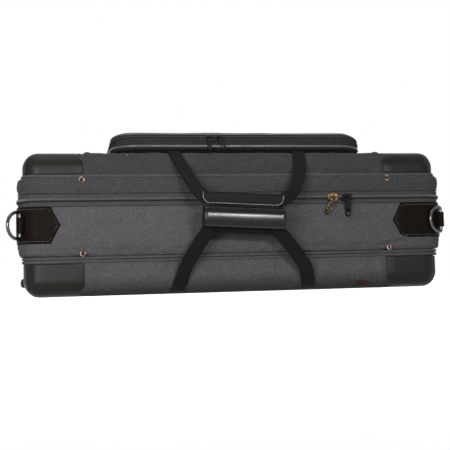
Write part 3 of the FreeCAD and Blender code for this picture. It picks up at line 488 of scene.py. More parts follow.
def make_finishes():
    """Every material, by the name of the record's slot."""
    colours = bpy.context.scene.case_colours
    sizes = bpy.context.scene.case_sizes
    weave = sizes.weave
    FINISHES.update({
        # the tray shell's nylon gets painted shade towards its foot
        "shell_nylon": woven("shell nylon", colours.nylon, weave, shaded_foot_height=26 * MM),
        "band_nylon": woven("band nylon", colours.nylon, weave),
        # the lid's shell and band use darker copies of the nylon: painted shade, the lid lit less than the tray
        "lid_shell_nylon": woven("lid shell nylon", colours.nylon, weave, 0.56),
        "lid_band_nylon": woven("lid band nylon", colours.nylon, weave, 0.63),
        # the pocket nylon is near black below TOP + 7 mm: painted shadow under the pocket's overhang
        "pocket_nylon": woven("pocket nylon", colours.pocket, weave, 1.0, TOP + 7 * MM),
        "seam_piping": woven("seam piping", colours.piping, weave * 0.8, 1.1),
        "guard_leatherette": moulded("guard leatherette", colours.guard),
        "patch_leather": leather("patch leather", colours.patch, 0.45, shine=0.02),
        "tab_leather": leather("tab leather", colours.tab, 0.45, shine=0.1),
        "flap_leather": leather("flap leather", [c * 2 for c in colours.grip], 0.45, shine=0.05),
        "grip_leather": leather("grip leather", colours.grip, 0.19, 320.0, 0.00003, 0.20),
        "bright_piping": leather("bright piping", colours.cord, 0.25, 700.0, 0.00005, 0.5),
        "strap_webbing": twill("strap webbing", colours.webbing),
        # webbing darkened to a third: painted shade for the strap that runs under the roll
        "shaded_webbing": twill("shaded webbing", [c * 0.3 for c in colours.webbing]),
        "hinge_webbing": twill("hinge webbing", colours.webbing, 0.0011, 0.75),
        "zip_tape": woven("zip tape", colours.tape, weave * 0.7),
        "zip_coil": rubbery("zip coil", colours.coil),
        # dark coil: painted shade on the main zip's tray half, the pocket zip's own dark colour
        "dark_coil": rubbery("dark coil", colours.dark_coil),
        "thread": rubbery("thread", colours.thread),
        "lining_plush": plush("lining plush", colours.plush, sizes.pile),
        "block_plush": plush("block plush", [c * 1.25 for c in colours.plush], sizes.pile),
        "plywood": plies("plywood", colours.wood),
        "pull_brass": aged_metal("pull brass", colours.brass, (0.018, 0.011, 0.006), 0.25),
        "black_metal": plain_metal("black metal", colours.enamel, 0.35, 0.0, 0.1, 0.05),
        "ring_metal": plain_metal("ring metal", colours.steel, 0.15),
        "rivet_metal": aged_metal("rivet metal", colours.copper, (0.045, 0.030, 0.025), 0.25),
        "foot_rubber": rubbery("foot rubber", colours.rubber),
    })


# Meshes

def put(name, verts, faces, body, finish, slot=None, stands_for=(), uvs=None, smooth=True):
    """Closed mesh from points and faces, riding on a body."""
    mesh = bpy.data.meshes.new(name)
    mesh.from_pydata([tuple(v) for v in verts], [], faces)
    mesh.update()
    if uvs is not None:
        layer = mesh.uv_layers.new(name="along")
        layer.data.foreach_set("uv", np.array(uvs, np.float32).ravel())
    work = bmesh.new()
    work.from_mesh(mesh)
    bmesh.ops.recalc_face_normals(work, faces=work.faces)
    work.to_mesh(mesh)
    work.free()
    mesh.polygons.foreach_set("use_smooth", [smooth] * len(mesh.polygons))
    obj = bpy.data.objects.new(name, mesh)
    bpy.context.scene.collection.objects.link(obj)
    mesh.materials.append(FINISHES[finish])
    if body:
        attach(obj, body)
    if stands_for:
        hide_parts(*stands_for)
    return obj


def grid_mesh(grid, wrap_rows=False, wrap_columns=False, cap=False, start=0):
    """Points, quads and map of a grid of points; cap closes the first and last row."""
    rows, columns = grid.shape[:2]
    verts = grid.reshape(-1, 3)
    along = np.zeros(columns + 1)
    along[1:columns] = np.cumsum(np.linalg.norm(np.diff(grid[rows // 2], axis=0), axis=1))
    along[columns] = along[columns - 1] + np.linalg.norm(grid[rows // 2, 0] - grid[rows // 2, -1])
    up = np.zeros(rows + 1)
    up[1:rows] = np.cumsum(np.linalg.norm(np.diff(grid[:, columns // 2], axis=0), axis=1))
    up[rows] = up[rows - 1] + np.linalg.norm(grid[0, columns // 2] - grid[-1, columns // 2])
    faces = []
    uvs = []
    for i in range(rows if wrap_rows else rows - 1):
        k = (i + 1) % rows
        for j in range(columns if wrap_columns else columns - 1):
            m = (j + 1) % columns
            faces.append((start + i * columns + j, start + i * columns + m,
                          start + k * columns + m, start + k * columns + j))
            uvs += [(along[j], up[i]), (along[j + 1], up[i]), (along[j + 1], up[i + 1]),
                    (along[j], up[i + 1])]
    if cap:
        for row in (0, rows - 1):
            faces.append(tuple(start + row * columns + j for j in range(columns)))
            uvs += [(along[j], up[row]) for j in range(columns)]
    return verts, faces, uvs


def put_grid(name, grid, body, finish, wrap_rows=False, wrap_columns=False, cap=False, **kw):
    verts, faces, uvs = grid_mesh(grid, wrap_rows, wrap_columns, cap)
    return put(name, verts, faces, body, finish, uvs=uvs, **kw)


def put_many(name, parts, body, finish, **kw):
    """Several grids in one mesh; each part is a grid and its two wraps and cap."""
    verts = []
    faces = []
    uvs = []
    for grid, wrap_rows, wrap_columns, cap in parts:
        more, quads, flat = grid_mesh(grid, wrap_rows, wrap_columns, cap, len(verts))
        verts.extend(more.tolist())
        faces += quads
        uvs += flat
    return put(name, verts, faces, body, finish, uvs=uvs, **kw)


def ring(half_x, half_y, radius, middle=(0.0, 0.0)):
    """Points of a rounded rectangle, with the same counts at any size."""
    radius = max(radius, 0.0005)
    a = half_x - radius
    b = half_y - radius
    points = []
    corners = [(a, -b, -90), (a, b, 0), (-a, b, 90), (-a, -b, 180)]
    starts = [(-a, -half_y), (half_x, -b), (a, half_y), (-half_x, b)]
    ends = [(a, -half_y), (half_x, b), (-a, half_y), (-half_x, -b)]
    for side in range(4):
        count = LONG if side % 2 == 0 else SHORT
        for step in range(count):
            t = step / count
            x = starts[side][0] + (ends[side][0] - starts[side][0]) * t
            y = starts[side][1] + (ends[side][1] - starts[side][1]) * t
            points.append((x + middle[0], y + middle[1]))
        cx, cy, begin = corners[side]
        for step in range(CORNER):
            angle = math.radians(begin + 90 * step / CORNER)
            points.append((cx + radius * math.cos(angle) + middle[0],
                           cy + radius * math.sin(angle) + middle[1]))
    return np.array(points)


def ringed(profile, half_x, half_y, radius, middle=(0.0, 0.0)):
    """Grid whose rows are rings; a profile point is how far out it is, and its height."""
    rows = []
    for out, level in profile:
        flat = ring(half_x + out, half_y + out, radius + out, middle)
        rows.append(np.column_stack([flat, np.full(len(flat), level)]))
    return np.array(rows)


def normals_of(grid, wrap_columns=True):
    """Directions square to a grid, pointing away from its closed inside."""
    along = np.roll(grid, -1, axis=1) - np.roll(grid, 1, axis=1)
    if not wrap_columns:
        along[:, 0] = grid[:, 1] - grid[:, 0]
        along[:, -1] = grid[:, -1] - grid[:, -2]
    up = np.gradient(grid, axis=0)
    square = np.cross(along, up)
    length = np.linalg.norm(square, axis=2, keepdims=True)
    return square / np.maximum(length, 1e-9)


def spread(low, high, step):
    """Evenly spaced numbers, about a step apart."""
    count = max(2, int(round(abs(high - low) / step)) + 1)
    return list(np.linspace(low, high, count))


def bell_curve(distance, width):
    return math.exp(-(distance / width) ** 2)


def ease(value, low, high):
    """0 below low, 1 above high, smooth between."""
    t = min(1.0, max(0.0, (value - low) / (high - low)))
    return t * t * (3 - 2 * t)


def folds(x, y, z, scale, seed=0.0):
    """Soft uneven hills between about -1 and 1."""
    return noise.noise(Vector((x * scale + seed, y * scale, z * scale)))


def plan_distance(x, y, leg_x, leg_y):
    """How far a point of a broad face is inside the nearest guard's plan; negative outside."""
    dx = abs(x) - leg_x
    dy = abs(y) - leg_y
    r = GUARD_PLAN_ROUND
    if dx < r and dy < r:
        return r - math.hypot(r - dx, r - dy)
    return min(dx, dy)


def strap_press(x, y, z):
    """1 under a handle strap, where the nylon is held down, falling to 0 beside it."""
    if y > -SHELL_Y + 60 * MM or (TRAY_SEAM < z < LID_SEAM):
        return 0.0
    ends = LOWER_ENDS if z < PARTING else UPPER_ENDS
    near = min(abs(x - end) for end in ends.values())
    return 1 - ease(near, STRAP_WIDTH * 0.6, STRAP_WIDTH * 1.3)


def shell_relief(x, y, z, seam, broad, guard_level, sizes):
    """How far the padded nylon of a half stands off its plain form."""
    from_broad = abs(z - broad)
    leg_x = SHELL_X - GUARD_LEG
    leg_y = SHELL_Y - GUARD_LEG
    on_flat = from_broad < 1.5 * MM
    if on_flat:
        inside = plan_distance(x, y, leg_x, leg_y)
    else:
        inside = min(abs(x) - leg_x, abs(y) - leg_y)
        inside = min(inside, abs(guard_level - broad) - from_broad)
    crown = sizes.padding * (1 - ease(min(abs(z - seam), 0.03), 0.0, 0.012) * 0.0)
    crown *= ease(abs(z - seam), 0.0, 0.010)
    hills = sizes.folds * (folds(x, y, z, 16.0) + 0.5 * folds(x, y, z, 45.0, 7.0))
    near_seam = bell_curve(abs(z - seam), 0.010)
    pucker = 0.5 * MM * near_seam * folds(x * 2.6, y * 2.6, z * 0.2, 60.0, 3.0)
    if z < PARTING:
        roll = 2.6 * MM * bell_curve(inside + 8 * MM, 5.0 * MM)
    else:
        roll = 2.2 * MM * bell_curve(inside + 5 * MM, 3.2 * MM)
    groove = -1.5 * MM * bell_curve(inside + 0.5 * MM, 1.3 * MM)
    height = crown + hills + pucker + roll + groove
    if on_flat:
        height = min(height * 0.6, 1.6 * MM)
        if z > PARTING:
            inset_x = min(x - POCKET[0][0], POCKET[1][0] - x) - 2 * MM
            inset_y = min(y - POCKET[0][1], POCKET[1][1] - y) - 2 * MM
            if min(inset_x, inset_y) > -12 * MM:
                height *= 1 - ease(min(inset_x, inset_y), -12 * MM, 0.0)
                height = min(height, 0.0)
        else:
            height = min(height, 0.0)
    height *= 1 - strap_press(x, y, z)
    height = min(height, 3.2 * MM)
    under = -(GUARD_PLATE + 0.4 * MM) if on_flat else -0.3 * MM
    covered = ease(inside, -0.5 * MM, 1.0 * MM)
    return height * (1 - covered) + under * covered


def blown(grid, held, pressure, slack, cap):
    """Ring grid of nylon after its foam has pushed it out, found by a cloth simulation; held points stay."""
    middle = (grid.shape[0] // 2, LONG // 2)
    verts, faces, _ = grid_mesh(grid, False, True)
    a, b, c = (Vector(verts[index]) for index in faces[middle[0] * grid.shape[1] + middle[1]][:3])
    if (b - a).cross(c - b).y > 0:
        faces = [face[::-1] for face in faces]
    mesh = bpy.data.meshes.new("nylon")
    mesh.from_pydata(verts.tolist(), [], faces)
    obj = bpy.data.objects.new("nylon", mesh)
    scene = bpy.context.scene
    scene.collection.objects.link(obj)
    group = obj.vertex_groups.new(name="held")
    group.add([int(index) for index in np.flatnonzero(held.ravel())], 1.0, "REPLACE")
    cloth = obj.modifiers.new("cloth", "CLOTH")
    cloth.settings.quality = 5
    cloth.settings.vertex_group_mass = "held"
    cloth.settings.tension_stiffness = 15
    cloth.settings.compression_stiffness = 15
    cloth.settings.bending_stiffness = 0.5
    cloth.settings.use_pressure = True
    cloth.settings.uniform_pressure_force = pressure
    cloth.settings.shrink_min = -slack
    cloth.settings.effector_weights.gravity = 0.0
    cloth.collision_settings.use_collision = False
    cloth.point_cache.frame_start = 1
    cloth.point_cache.frame_end = 20
    for frame in range(1, 21):
        scene.frame_set(frame)
    graph = bpy.context.evaluated_depsgraph_get()
    result = obj.evaluated_get(graph).data
    places = np.empty(len(result.vertices) * 3, np.float32)
    result.vertices.foreach_get("co", places)
    shift = places.reshape(grid.shape) - grid
    bpy.data.objects.remove(obj)
    scene.frame_set(1)
    length = np.linalg.norm(shift, axis=2, keepdims=True)
    return grid + shift * np.minimum(1.0, cap / np.maximum(length, 1e-9))


def padded_shell(name, lid, body, sizes):
    """Nylon over foam, from the seam round the edge to the middle of the broad face."""
    broad = TOP if lid else 0.0
    seam = LID_SEAM + GAP if lid else TRAY_SEAM - GAP
    turn = -1 if lid else 1
    r = SHELL_ROUND
    reach = abs(seam - broad)
    inner = 3.4 * MM
    outside = [(0.0, seam - turn * (reach - h)) for h in spread(reach, r, 3 * MM)]
    for step in range(1, 9):
        angle = math.radians(90 * step / 9)
        outside.append((-r * (1 - math.cos(angle)), broad + turn * r * (1 - math.sin(angle))))
    deepest = SHELL_Y - 5 * MM
    for inset in spread(r, deepest, 5 * MM):
        outside.append((-inset, broad))
    grid = ringed(outside, SHELL_X, SHELL_Y, r)
    square = normals_of(grid)
    if lid:
        square = -square
    rows, columns = grid.shape[:2]
    walls = len(spread(reach, r, 3 * MM)) + 10
    held = np.zeros((walls, columns), bool)
    held[:2] = True
    held[-2:] = True
    for i in range(walls):
        for j in range(columns):
            x, y, z = grid[i, j]
            in_guard = min(abs(x) - SHELL_X, abs(y) - SHELL_Y) > -GUARD_LEG - 1 * MM
            held[i, j] |= in_guard or strap_press(x, y, z) > 0.3
    grid[:walls] = blown(grid[:walls], held, 1.0, 0.01, 1.8 * MM)
    # the first side row gives which way is out
    if square[0, LONG // 2][1] > 0:
        square = -square
    for i in range(rows):
        for j in range(columns):
            x, y, z = grid[i, j]
            height = shell_relief(x, y, z, seam, broad, LID_GUARD if lid else TRAY_GUARD, sizes)
            grid[i, j] += square[i, j] * height
            if not lid:
                grid[i, j][2] = max(grid[i, j][2], 0.0)
    inside = [(-inner, seam)]
    inside += [(-inner, broad + turn * h) for h in spread(reach - 4 * MM, r, 8 * MM)]
    for step in range(1, 5):
        angle = math.radians(90 * step / 5)
        q = r - inner
        inside.append((-inner - q * (1 - math.cos(angle)), broad + turn * (inner + q * (1 - math.sin(angle)))))
    for inset in spread(r, deepest, 20 * MM):
        inside.append((-inset, broad + turn * inner))
    back = ringed(inside, SHELL_X, SHELL_Y, r)
    whole = np.concatenate([back[::-1], grid])
    verts, faces, uvs = grid_mesh(whole, False, True)
    total = whole.shape[0]
    # close the narrow middle strip of both faces with quads across it
    for row in (0, total - 1):
        base = row * columns
        first_long = 0
        for step in range(LONG):
            a = base + first_long + step
            b = base + first_long + step + 1
            c = base + LONG + CORNER + SHORT + CORNER + (LONG - step - 1)
            d = base + LONG + CORNER + SHORT + CORNER + (LONG - step)
            faces.append((a, b, c, d))
            uvs += [(0, 0), (0.004, 0), (0.004, 0.01), (0, 0.01)]
        right = [base + LONG + step for step in range(CORNER + SHORT + CORNER + 1)]
        left = [base + 2 * LONG + 2 * CORNER + SHORT + step for step in range(CORNER + SHORT + CORNER)]
        left.append(base)
        for loop in (right, left):
            faces.append(tuple(loop))
            uvs += [(0, 0)] * len(loop)
    nodes = ("lid_cover",) if lid else ("tray_cover",)
    cover = put(name, verts, faces, body, "lid_shell_nylon" if lid else "shell_nylon", slot="shell_nylon",
                stands_for=nodes, uvs=uvs)
    return cover


def band_relief(x, y, z, low, high, zip_edge, sizes):
    """How far the band's padded nylon stands off its plain form."""
    seam = low if zip_edge > low else high
    from_seam = abs(z - seam)
    from_zip = abs(z - zip_edge)
    crown = sizes.padding * 0.9 * ease(from_seam, 0.002, 0.02) * ease(from_zip, 0.0, 0.012)
    hills = sizes.folds * 0.8 * (folds(x, y, z, 13.0, 11.0) + 0.5 * folds(x, y, z, 38.0, 5.0))
    pucker = 0.45 * MM * bell_curve(from_seam - 7 * MM, 7 * MM) * folds(x * 2.2, y * 2.2, z, 48.0, 2.0)
    gather = 0.3 * MM * bell_curve(from_zip, 6 * MM) * folds(x * 3, y * 3, z, 60.0, 9.0)
    groove = -0.8 * MM * bell_curve(from_seam - 7.5 * MM, 1.3 * MM)
    groove -= 0.3 * MM * bell_curve(from_zip - 1.8 * MM, 1.2 * MM)
    height = crown + hills + pucker + gather + groove
    if y < -BAND_Y + 5 * MM and z < PARTING:
        height += crease(x, z)
    height *= 1 - 0.8 * under_patch(x, y, z)
    dx = abs(x) - RIVET_X
    dz = from_seam - 3.0 * MM
    by_rivet = bell_curve(math.hypot(dx, dz * 0.7), 6 * MM)
    height = height * (1 - by_rivet) - 1.2 * MM * by_rivet
    return height


def under_patch(x, y, z):
    """1 where a leather patch holds the band down, 0 away from it."""
    if y > 0 or z > PARTING:
        return 0.0
    side = -1 if x < 0 else 1
    run = abs(x) - (BAND_X - PATCH_REACH[side])
    if abs(x) < BAND_X - 1 * MM:
        half = PATCH_TALL * min(1.0, max(run, 0.0) / (12 * MM))
    else:
        half = PATCH_TALL * (1 - ease(y, -BAND_Y + 55 * MM, -BAND_Y + 62 * MM))
    return 1 - ease(abs(z - PATCH_MIDDLE), half - 2 * MM, half + 2 * MM)


def crease(x, z):
    """Diagonal folds of the band below the right patch."""
    lines = ((180 * MM, 56.5 * MM, 240 * MM, 67.5 * MM, 4.6 * MM), (150 * MM, 60 * MM, 205 * MM, 63 * MM, 0.7 * MM))
    height = 0.0
    for x0, z0, x1, z1, tall in lines:
        length = math.hypot(x1 - x0, z1 - z0)
        t = ((x - x0) * (x1 - x0) + (z - z0) * (z1 - z0)) / length ** 2
        side = ((x - x0) * (z1 - z0) - (z - z0) * (x1 - x0)) / length
        fade = ease(t, -0.1, 0.35) * (1 - ease(t, 0.9, 1.15))
        height += tall * fade * (bell_curve(side + 3 * MM, 3.5 * MM) - bell_curve(side, 1.8 * MM))
    return height


def padded_band(name, lid, body, sizes):
    """Nylon over foam between a seam and the zip, a closed ring."""
    seam = LID_SEAM if lid else TRAY_SEAM
    turn = 1 if lid else -1
    zip_edge = PARTING + turn * (TAPE_EDGE + 0.4 * MM)
    rim = PARTING + turn * GAP
    step_in = 2.1 * MM
    round_seam = 6 * MM
    inner = WALL_X + 0.5 * MM - BAND_X
    outer = []
    for step in range(8):
        angle = math.radians(90 * step / 7)
        out = -round_seam + round_seam * math.sin(angle)
        outer.append((out, seam - turn * (round_seam - round_seam * math.cos(angle))))
    for level in spread(seam - turn * (round_seam + 2 * MM), zip_edge + turn * 2.5 * MM, 2.6 * MM):
        outer.append((0.0, level))
    outer.append((-0.1 * MM, zip_edge + turn * 0.7 * MM))
    outer.append((-0.6 * MM, zip_edge + turn * 0.2 * MM))
    closing = [(-step_in, zip_edge), (-step_in, rim), (inner, rim), (inner, seam)]
    grid = ringed(outer, BAND_X, BAND_Y, BAND_ROUND)
    square = normals_of(grid)
    if square[6, LONG // 2][1] > 0:
        square = -square
    low, high = min(seam, rim), max(seam, rim)
    held = np.zeros(grid.shape[:2], bool)
    held[:3] = True
    held[-4:] = True
    for i in range(grid.shape[0]):
        for j in range(grid.shape[1]):
            x, y, z = grid[i, j]
            by_rivet = math.hypot(abs(x) - RIVET_X, z - seam) < 9 * MM
            held[i, j] |= by_rivet or under_patch(x, y, z) > 0.2
    grid = blown(grid, held, 1.0, 0.01, 1.5 * MM)
    for i in range(grid.shape[0]):
        for j in range(grid.shape[1]):
            x, y, z = grid[i, j]
            height = band_relief(x, y, z, low, high, zip_edge, sizes)
            if i > grid.shape[0] - 3:
                height = min(height, 0.0)
            grid[i, j] += square[i, j] * height
    whole = np.concatenate([grid, ringed(closing, BAND_X, BAND_Y, BAND_ROUND)])
    nodes = ("lid_band",) if lid else ("tray_band",)
    band = put_grid(name, whole, body, "lid_band_nylon" if lid else "band_nylon", True, True,
                    slot="band_nylon", stands_for=nodes)
    return band


def frames_along(points, closed=False, hint=UP):
    """Direction, side and normal at each point of a path."""
    points = [Vector(p) for p in points]
    count = len(points)
    result = []
    for index in range(count):
        before = points[index - 1] if closed or index > 0 else points[0]
        after = points[(index + 1) % count] if closed or index < count - 1 else points[-1]
        along = (after - before).normalized()
        guide = hint[index] if isinstance(hint, list) else hint
        normal = (guide - along * guide.dot(along)).normalized()
        result.append((along, along.cross(normal), normal))
    return result


def tube_grid(points, radius, closed=False, sides=10, hint=UP, flat=1.0):
    """Round or oval section along a path; radius may change along it."""
    rows = []
    radii = radius if isinstance(radius, (list, np.ndarray)) else [radius] * len(points)
    for point, (_, side, normal), r in zip(points, frames_along(points, closed, hint), radii):
        row = []
        for corner in range(sides):
            angle = 2 * math.pi * corner / sides
            offset = side * (math.cos(angle) * r) + normal * (math.sin(angle) * r * flat)
            row.append(Vector(point) + offset)
        rows.append(row)
    return np.array([[tuple(p) for p in row] for row in rows])


def strap_section(width, thickness):
    """Closed outline of webbing: flat faces, rounded selvages."""
    w = width / 2
    t = thickness / 2
    bow = min(t, w) * 0.9
    outline = []
    for share in (-1, -0.66, -0.33, 0, 0.33, 0.66, 1):
        outline.append((share * (w - bow), t))
    outline += [(w - bow * 0.3, t * 0.75), (w, 0.0), (w - bow * 0.3, -t * 0.75)]
    for share in (1, 0.66, 0.33, 0, -0.33, -0.66, -1):
        outline.append((share * (w - bow), -t))
    outline += [(-w + bow * 0.3, -t * 0.75), (-w, 0.0), (-w + bow * 0.3, t * 0.75)]
    return outline


def strap_grid(points, hints, width, thickness):
    rows = []
    outline = strap_section(width, thickness)
    for point, (_, side, normal) in zip(points, frames_along(points, False, hints)):
        rows.append([tuple(Vector(point) + side * a + normal * b) for a, b in outline])
    return np.array(rows)


def smooth_path(points, step):
    """Points about a step apart on a curve through the given points."""
    points = [Vector(p) for p in points]
    ends = [points[0] * 2 - points[1]] + points + [points[-1] * 2 - points[-2]]
    path = []
    for index in range(1, len(ends) - 2):
        p0, p1, p2, p3 = ends[index - 1:index + 3]
        count = max(1, int(round((p2 - p1).length / step)))
        for part in range(count):
            t = part / count
            path.append(0.5 * ((2 * p1) + (p2 - p0) * t + (2 * p0 - 5 * p1 + 4 * p2 - p3) * t * t
                               + (3 * p1 - p0 - 3 * p2 + p3) * t ** 3))
    path.append(points[-1])
    return path


def stitch_parts(path, hints, length, gap, radius):
    """Threads lying one behind the other along a path, each sunk at its ends."""
    path = [Vector(p) for p in path]
    run = [0.0]
    for a, b in zip(path, path[1:]):
        run.append(run[-1] + (b - a).length)
    run = np.array(run)
    places = np.array([tuple(p) for p in path])
    ups = np.array([tuple(h) for h in hints])
    parts = []
    count = int(run[-1] / (length + gap))
    for index in range(count):
        begin = index * (length + gap) + gap / 2
        rows = []
        middle = []
        for share in (0.0, 0.15, 0.5, 0.85, 1.0):
            s = begin + share * length
            place = Vector([np.interp(s, run, places[:, axis]) for axis in range(3)])
            up = Vector([np.interp(s, run, ups[:, axis]) for axis in range(3)]).normalized()
            lift = radius * (0.5 if 0 < share < 1 else -0.9)
            middle.append((place + up * lift, up))
        points = [m[0] for m in middle]
        guide = [m[1] for m in middle]
        rows = tube_grid(points, [radius * 0.6, radius, radius, radius, radius * 0.6], False, 5, guide)
        parts.append((rows, False, True, True))
    return parts


def ring_path(out, level, half_x, half_y, radius, start=0, stop=None):
    """Path round a rounded rectangle, with its outward directions."""
    flat = ring(half_x + out, half_y + out, radius + out)
    path = [Vector((x, y, level)) for x, y in flat]
    hints = []
    count = len(path)
    for index in range(count):
        along = path[(index + 1) % count] - path[index - 1]
        hints.append(Vector((along.y, -along.x, 0)).normalized())
    if stop is None:
        return path + [path[0]], hints + [hints[0]]
    picked = [index % count for index in range(start, stop)]
    return [path[i] for i in picked], [hints[i] for i in picked]


def copy_of(node):
    """Mesh like a frame node's, for a piece that is worked on further."""
    source = frame["nodes"][node]
    obj = bpy.data.objects.new(node + "_soft", source.data.copy())
    bpy.context.scene.collection.objects.link(obj)
    return obj


def applied(obj):
    """Turns an object's modifiers into its mesh."""
    graph = bpy.context.evaluated_depsgraph_get()
    mesh = bpy.data.meshes.new_from_object(obj.evaluated_get(graph))
    obj.modifiers.clear()
    obj.data = mesh
    return obj


def softened(name, node, body, finish, voxel, rounds, slack):
    """Foam piece with the frame node's form, eased at its edges and a little uneven."""
    obj = copy_of(node)
    obj.name = name
    remesh = obj.modifiers.new("even", "REMESH")
    remesh.mode = "VOXEL"
    remesh.voxel_size = voxel
    smooth = obj.modifiers.new("eased", "SMOOTH")
    smooth.factor = 0.5
    smooth.iterations = rounds
    applied(obj)
    mesh = obj.data
    for vertex, normal in zip(mesh.vertices, [v.normal.copy() for v in mesh.vertices]):
        x, y, z = vertex.co
        hills = 0.5 + 0.5 * folds(x, y, z, 30.0, 4.0)
        vertex.co -= normal * slack * hills
    mesh.polygons.foreach_set("use_smooth", [True] * len(mesh.polygons))
    mesh.materials.clear()
    mesh.materials.append(FINISHES[finish])
    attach(obj, body)
    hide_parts(node)
    return obj


class CaseOperator:
    """What every operator of the case has in common."""

    bl_options = {"REGISTER", "UNDO"}

    @property
    def sizes(self):
        return bpy.context.scene.case_sizes


class CASE_OT_finishes(CaseOperator, bpy.types.Operator):
    """Make the materials, and give them to the frame's own nodes"""

    bl_idname = "case.finishes"
    bl_label = "Finishes"

    def execute(self, context):
        make_finishes()
        slots = {part["node"]: part["material_slot"] for part in frame["record"]["subparts"]}
        for name, node in frame["nodes"].items():
            node.data.materials.clear()
            node.data.materials.append(FINISHES[slots[name]])
        return {"FINISHED"}


class CASE_OT_shells(CaseOperator, bpy.types.Operator):
    """Make the padded nylon of the tray and the lid"""

    bl_idname = "case.shells"
    bl_label = "Padded Shells"

    def execute(self, context):
        padded_shell("tray_padded_shell", False, "tray", self.sizes)
        padded_shell("lid_padded_shell", True, "lid", self.sizes)
        return {"FINISHED"}


class CASE_OT_bands(CaseOperator, bpy.types.Operator):
    """Make the padded bands between the seams and the zip"""

    bl_idname = "case.bands"
    bl_label = "Bands"

    def execute(self, context):
        padded_band("tray_padded_band", False, "tray", self.sizes)
        padded_band("lid_padded_band", True, "lid", self.sizes)
        return {"FINISHED"}


class CASE_OT_seams(CaseOperator, bpy.types.Operator):
    """Make the piped seams and the rows of stitches along them"""

    bl_idname = "case.seams"
    bl_label = "Seams"

    def execute(self, context):
        r = 1.95 * MM
        grow = 2.1 * MM + GAP
        lows = [TRAY_SEAM - GAP - r, TRAY_SEAM - GAP - 3 * r - 0.5 * MM]
        self.piping("tray_seam_cords", lows, grow, r, "tray", "tray_seam_piping")
        self.piping("lid_seam_cord", [LID_SEAM + GAP + r], grow, r, "lid", "lid_seam_piping")
        rows = [("tray_seam_stitches", TRAY_SEAM + 7.5 * MM, "tray"),
                ("lid_seam_stitches", LID_SEAM - 7.5 * MM, "lid"),
                ("tray_zip_stitches", PARTING - TAPE_EDGE - 6.3 * MM, "tray"),
                ("lid_zip_stitches", PARTING + TAPE_EDGE + 2.2 * MM, "lid")]
        for name, level, body in rows:
            path, hints = ring_path(0.35 * MM, level, BAND_X, BAND_Y, BAND_ROUND)
            parts = stitch_parts(path, hints, self.sizes.stitch, 1.3 * MM, self.sizes.thread)
            put_many(name, parts, body, "thread", slot="seam_piping")
        self.tacks()
        return {"FINISHED"}

    def tacks(self):
        """Bar tacks: a few threads side by side where a seam's sewing ends."""
        for name, x, y, z, body in (("tack_lid_top", -146 * MM, -SHELL_Y + 1 * MM, TOP - 5 * MM, "lid"),
                                    ("tack_lid_seam", 54.5 * MM, -BAND_Y - 0.2 * MM, LID_SEAM - 4 * MM, "lid"),
                                    ("tack_tray_seam", 50 * MM, -BAND_Y - 0.2 * MM, TRAY_SEAM + 4 * MM, "tray")):
            parts = []
            for step in range(5):
                start = Vector((x + (step - 2) * 0.6 * MM, y, z - 1.4 * MM))
                path = [start + UP * rise * MM for rise in (0.0, 0.7, 1.4, 2.1, 2.8)]
                parts.append((tube_grid(path, 0.34 * MM, False, 6, Vector((0, -1, 0))), False, True, True))
            put_many(name, parts, body, "thread", slot="seam_piping")

    def piping(self, name, levels, grow, radius, body, node):
        parts = []
        for level in levels:
            flat = ring(SHELL_X + grow, SHELL_Y + grow, SHELL_ROUND + GAP)
            path = []
            for x, y in flat:
                sag = 0.35 * MM * folds(x, y, level, 22.0, 1.0)
                path.append(Vector((x, y, level + sag)))
            parts.append((tube_grid(path, radius, True, 10), True, True, False))
        put_many(name, parts, body, "seam_piping", stands_for=(node,))


def guard_grid(sx, sy, lid, face, steps=16):
    """Grid over one of a guard's three faces, before its edges are rounded over."""
    height = (TOP - LID_GUARD) if lid else TRAY_GUARD
    leg = GUARD_LEG
    grid = []
    for i in range(steps + 1):
        row = []
        for j in range(steps + 1):
            a, b = i / steps, j / steps
            if face == "broad":
                u, v = eased_square(a, b, leg, leg, GUARD_PLAN_ROUND)
                row.append((leg - u, leg - v, 0.0))
            elif face == "front":
                u, v = eased_square(a, b, leg, height, 1.5 * MM)
                row.append((leg - u, leg + GUARD_PROUD, v))
            else:
                u, v = eased_square(a, b, leg, height, 1.5 * MM)
                row.append((leg + GUARD_PROUD, leg - u, v))
        grid.append(row)
    return np.array(grid)


def eased_square(a, b, wide, tall, radius):
    """Point of a rectangle whose far corner is rounded; a and b run from 0 to 1."""
    u, v = a * wide, b * tall
    if u < 1e-9 and v < 1e-9:
        return 0.0, 0.0
    reach = max(a, b)
    fu, fv = u / reach, v / reach
    radius = min(radius, wide, tall)
    cu, cv = wide - radius, tall - radius
    if fu > cu and fv > cv:
        length = math.hypot(fu, fv)
        du, dv = fu / length, fv / length
        along = du * cu + dv * cv
        inside = along ** 2 - (cu ** 2 + cv ** 2 - radius ** 2)
        edge = along + math.sqrt(max(inside, 0.0))
        share = edge / length
        factor = 1 - (1 - share) * reach ** 3
        return u * factor, v * factor
    return u, v


